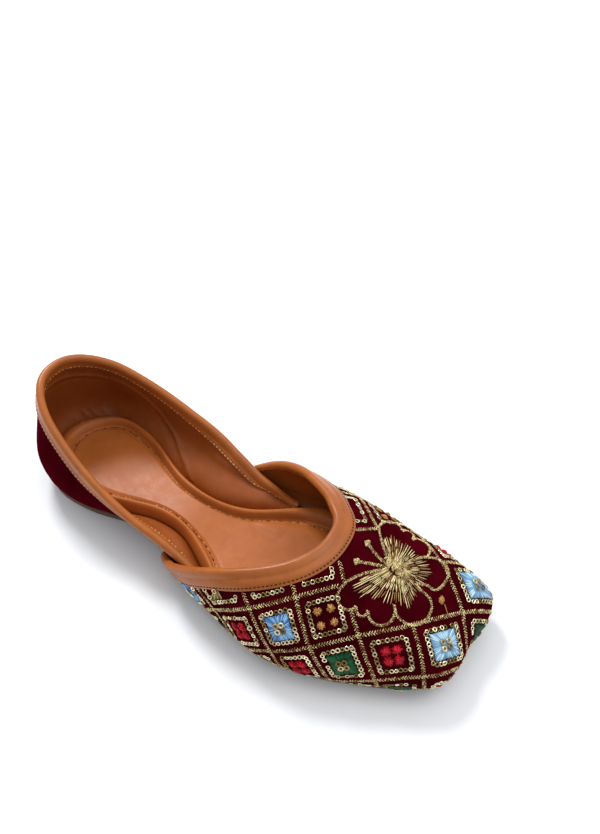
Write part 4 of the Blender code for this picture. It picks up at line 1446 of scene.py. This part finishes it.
# %% Satin patches
def middles_of(kind):
    """Middles of all squares of one kind."""
    return [(i + 0.5, j + 0.5) for (i, j), found in SQUARES.items() if found == kind]


def satin(name, kind, reach, look, steps=13):
    """Small padded squares, joined to one piece."""
    made = []
    s = np.linspace(-1.0, 1.0, steps)
    a, b = np.meshgrid(s, s, indexing="ij")
    for x, y in middles_of(kind):
        flat = np.stack([x + a * reach, y + b * reach], axis=2).reshape(-1, 2)
        points, out, shown = on_shoe(flat)
        if shown.mean() < 0.6:
            continue
        puff = 0.0007 * ((1 - a ** 6) * (1 - b ** 6)).reshape(-1, 1) + 0.00005
        net = (points + out * puff).reshape(steps, steps, 3)[::-1]
        made.append(thick(net_piece(name, net, look), 0.0003))
    only(made[0])
    for patch in made:
        patch.select_set(True)
    bpy.ops.object.join()
    joined = bpy.context.object
    joined.name = joined.data.name = name
    belongs(joined, "maroon_velvet")

# %% Threads of the satin
def satin_threads(name, kind, reach, look, strands=15):
    """Threads that run from a small middle square out to the patch's edge."""
    batch = Batch(name, stitch_shape, look, "maroon_velvet")
    for middle in middles_of(kind):
        for turn in range(4):
            ahead = np.array([math.cos(turn * math.pi / 2), math.sin(turn * math.pi / 2)])
            aside = np.array([-ahead[1], ahead[0]])
            for t in np.linspace(-1.0, 1.0, strands):
                far = reach * (1 + chance.uniform(-0.07, 0.05))
                ends = np.array([middle + ahead * 0.07 + aside * 0.07 * t,
                                 middle + ahead * far + aside * reach * t])
                points, outs, shown = on_shoe(ends, 0.0006)
                if shown.all():
                    way = points[1:] - points[:1]
                    batch.put(points.mean(0)[None], way, outs[:1],
                              (np.linalg.norm(way) * 1.06, 0.00062, 0.0005))
    batch.join()


for kind, reach, look in (("blue", 0.250, blue_silk), ("sky", 0.250, sky_silk),
                          ("green", 0.240, green_silk), ("olive", 0.245, olive_silk)):
    satin(kind + "_satin", kind, reach, look)
    satin_threads(kind + "_threads", kind, reach + 0.011, look)

# %% Silk knots
red_knots = Batch("red_knots", stitch_shape, red_silk, "maroon_velvet")
tan_knots = Batch("tan_knots", stitch_shape, tan_silk, "maroon_velvet")


def knot(batch, place, size=0.0019, threads=26):
    """A round knot of short threads that spread from its middle."""
    points, outs, shown = on_shoe([place])
    if not shown[0]:
        return
    out = outs[0]
    way = unit(np.cross(out, (0.31, 0.82, 0.11)))
    side = np.cross(out, way)
    turns = np.linspace(0, 2 * math.pi, threads, endpoint=False)
    turns = turns + chance.uniform(-0.12, 0.12, threads)
    for share, lift_up, rise in ((0.52, 0.00030, 0.22), (0.34, 0.00085, 0.55)):
        ways = np.cos(turns)[:, None] * way + np.sin(turns)[:, None] * side
        lean = ways - out * rise
        length = size * share * chance.uniform(1.25, 1.75, (threads, 1))
        middle = points[0] + out * lift_up + ways * length * 0.46
        batch.put(middle, lean, np.tile(out, (threads, 1)),
                  np.hstack([length, np.full_like(length, 0.00042),
                             np.full_like(length, 0.0004)]))

# %% Knots and clusters in the squares
gold_rings = Batch("middle_rings", ring_shape, old_gold, "maroon_velvet")


def cluster(x, y, size=0.0030, apart=0.085):
    """Four rings round the middle of a satin patch."""
    for turn in range(4):
        angle = math.pi / 4 + turn * math.pi / 2
        place = (x + apart * math.cos(angle), y + apart * math.sin(angle))
        points, outs, shown = on_shoe([place], 0.0012)
        if shown[0]:
            way = np.cross(outs, (0.3, 0.8, 0.1))
            gold_rings.put(points, way, outs, (size, size, 0.0016))


KNOTS = {"red": (red_knots, 0.102, 0.0034), "tan": (tan_knots, 0.135, 0.0026)}
for (i, j), kind in SQUARES.items():
    if kind in KNOTS:
        batch, reach, size = KNOTS[kind]
        for a in (-reach, reach):
            for b in (-reach, reach):
                knot(batch, (i + 0.5 + a, j + 0.5 + b), size)
    elif kind != "frame":
        cluster(i + 0.5, j + 0.5)
for batch in (rings, gold_rings, red_knots):
    batch.join()

# %% [markdown]
# ## The butterfly
# Over four squares in the middle lies a butterfly in gold thread. A single
# cord draws the scalloped wings, and long stitches spread from the body into
# each wing. It could be cut out as one raised shape, but then the light would
# not run along its threads. Its places are charted in squares, like all here.

# %% Wings and feelers
WINGS = [
    [(0.92, 0.92), (0.75, 0.90), (0.44, 0.89), (0.12, 0.94), (-0.08, 1.04), (-0.19, 1.18),
     (-0.20, 1.32), (-0.12, 1.45), (0.01, 1.49), (0.11, 1.44)],
    [(0.11, 1.44), (0.09, 1.56), (0.14, 1.65), (0.23, 1.65), (0.30, 1.57)],
    [(0.30, 1.57), (0.29, 1.73), (0.37, 1.86), (0.51, 1.90), (0.65, 1.85), (0.75, 1.74),
     (0.79, 1.58)],
    [(0.79, 1.58), (0.78, 1.78), (0.85, 1.91), (0.98, 2.00), (1.15, 2.02), (1.33, 1.94),
     (1.45, 1.81), (1.49, 1.67), (1.45, 1.55), (1.38, 1.44), (1.33, 1.30)],
    [(1.33, 1.30), (1.50, 1.36), (1.64, 1.50), (1.77, 1.46), (1.94, 1.34), (2.04, 1.19),
     (2.04, 1.04), (1.92, 0.91), (1.68, 0.84), (1.44, 0.86), (1.20, 0.94)],
    [(0.95, 0.80), (0.95, 0.45), (0.98, 0.20), (1.05, -0.03), (1.20, -0.15), (1.36, -0.19),
     (1.53, -0.18), (1.62, -0.06), (1.58, 0.09)],
    [(1.58, 0.09), (1.70, 0.03), (1.81, 0.08), (1.80, 0.22), (1.68, 0.36)],
    [(1.68, 0.36), (1.82, 0.31), (1.93, 0.37), (1.97, 0.52), (1.91, 0.70), (1.76, 0.85)],
]
FEELERS = [[(0.66, 0.31), (0.74, 0.52), (0.84, 0.72), (0.95, 0.86)],
           [(0.34, 0.63), (0.50, 0.69), (0.68, 0.77), (0.90, 0.88)]]
butterfly_cord = Batch("butterfly_cord", stitch_shape, gold_thread, "maroon_velvet")
for wing in WINGS:
    braid(through_rows(wing, 8), width=0.0014, pitch=0.00080, batch=butterfly_cord)
for feeler in FEELERS:
    braid(through_rows(feeler, 8), width=0.0017, pitch=0.00085, batch=butterfly_cord)
    for a, b in ((0, 0), (-0.03, 0.03), (0.03, -0.03), (-0.03, -0.03)):
        knot(butterfly_cord, (feeler[0][0] + a, feeler[0][1] + b), 0.0012, 12)
print(sum(len(row) for row in butterfly_cord.rows), "stitches in the cord")

# %% Long stitches of the wings
TIPS = [(0.98, 0.34), (1.04, 0.26), (1.13, 0.21), (1.28, 0.20), (1.36, 0.36), (1.47, 0.47),
        (1.55, 0.61), (1.62, 0.76), (1.68, 0.90), (1.74, 1.02), (1.76, 1.12), (1.67, 1.23),
        (1.56, 1.32), (1.40, 1.46), (1.24, 1.60), (1.06, 1.76), (0.96, 1.68), (0.87, 1.58),
        (0.77, 1.58), (0.67, 1.56), (0.54, 1.48), (0.40, 1.41), (0.27, 1.33), (0.13, 1.26),
        (0.12, 1.15), (0.16, 1.05), (0.30, 0.98)]
STARTS = [(1.00, 0.76), (1.08, 0.84), (1.15, 0.98), (1.13, 1.12), (1.05, 1.08), (0.98, 0.98),
          (0.95, 0.88)]
tips = through_rows(TIPS, 12)
fan_count = int(run_of(tips)[-1] / 0.060)
for tip, start_at in zip(spread(tips, fan_count), spread(through_rows(STARTS, 8), fan_count)):
    reach = 1 + chance.uniform(-0.14, 0.04)
    shift = chance.uniform(-0.05, 0.05)
    for start, end in ((0.04, 0.36), (0.30 + shift, 0.62 + shift), (0.56 + shift, 1.0)):
        ends = start_at + (tip - start_at) * np.array([[start], [end * reach]])
        ends = ends + chance.normal(0.0, 0.007, (2, 2))
        points, outs, shown = on_shoe(ends, 0.0003)
        if shown.all():
            way = points[1:] - points[:1]
            middle = points.mean(0)[None] + outs[:1] * 0.00025 * chance.random()
            butterfly_cord.put(middle, way, outs[:1], (np.linalg.norm(way), 0.00040, 0.0005))
print(fan_count, "rays of long stitches")

# %% Body of the butterfly
BODY = [(0.98, 0.76), (1.08, 0.90), (1.14, 1.10)]
pile = 230
body = spread(through_rows(BODY, 8), 40)
places = body[chance.integers(0, len(body), pile)]
places = places + chance.normal((-0.02, 0.0), (0.050, 0.055), (pile, 2))
for spot_at in places:
    points, outs, shown = on_shoe([spot_at], 0.0006 + 0.0004 * chance.random())
    across = np.cross(outs, on_shoe([spot_at + (0.02, 0.03)])[0] - points)
    way = unit(across) + chance.normal(0.0, 0.35, (1, 3))
    butterfly_cord.put(points, way, outs, (chance.uniform(0.0014, 0.0024), 0.0004, 0.0005))
butterfly_cord.join()

# %% Bud in front of the butterfly
for a, b in ((0, 0), (-0.035, 0.0), (0.0, -0.035), (-0.03, 0.03)):
    knot(tan_knots, (1.71 + a, 1.70 + b), 0.0016, 16)
stem, way, out = walk(straight((1.72, 1.78), (1.72, 1.97)), 0.0009)
tan_knots.put(stem + out * 0.0002, way, out, (0.0012, 0.0004, 0.0004))
tan_knots.join()
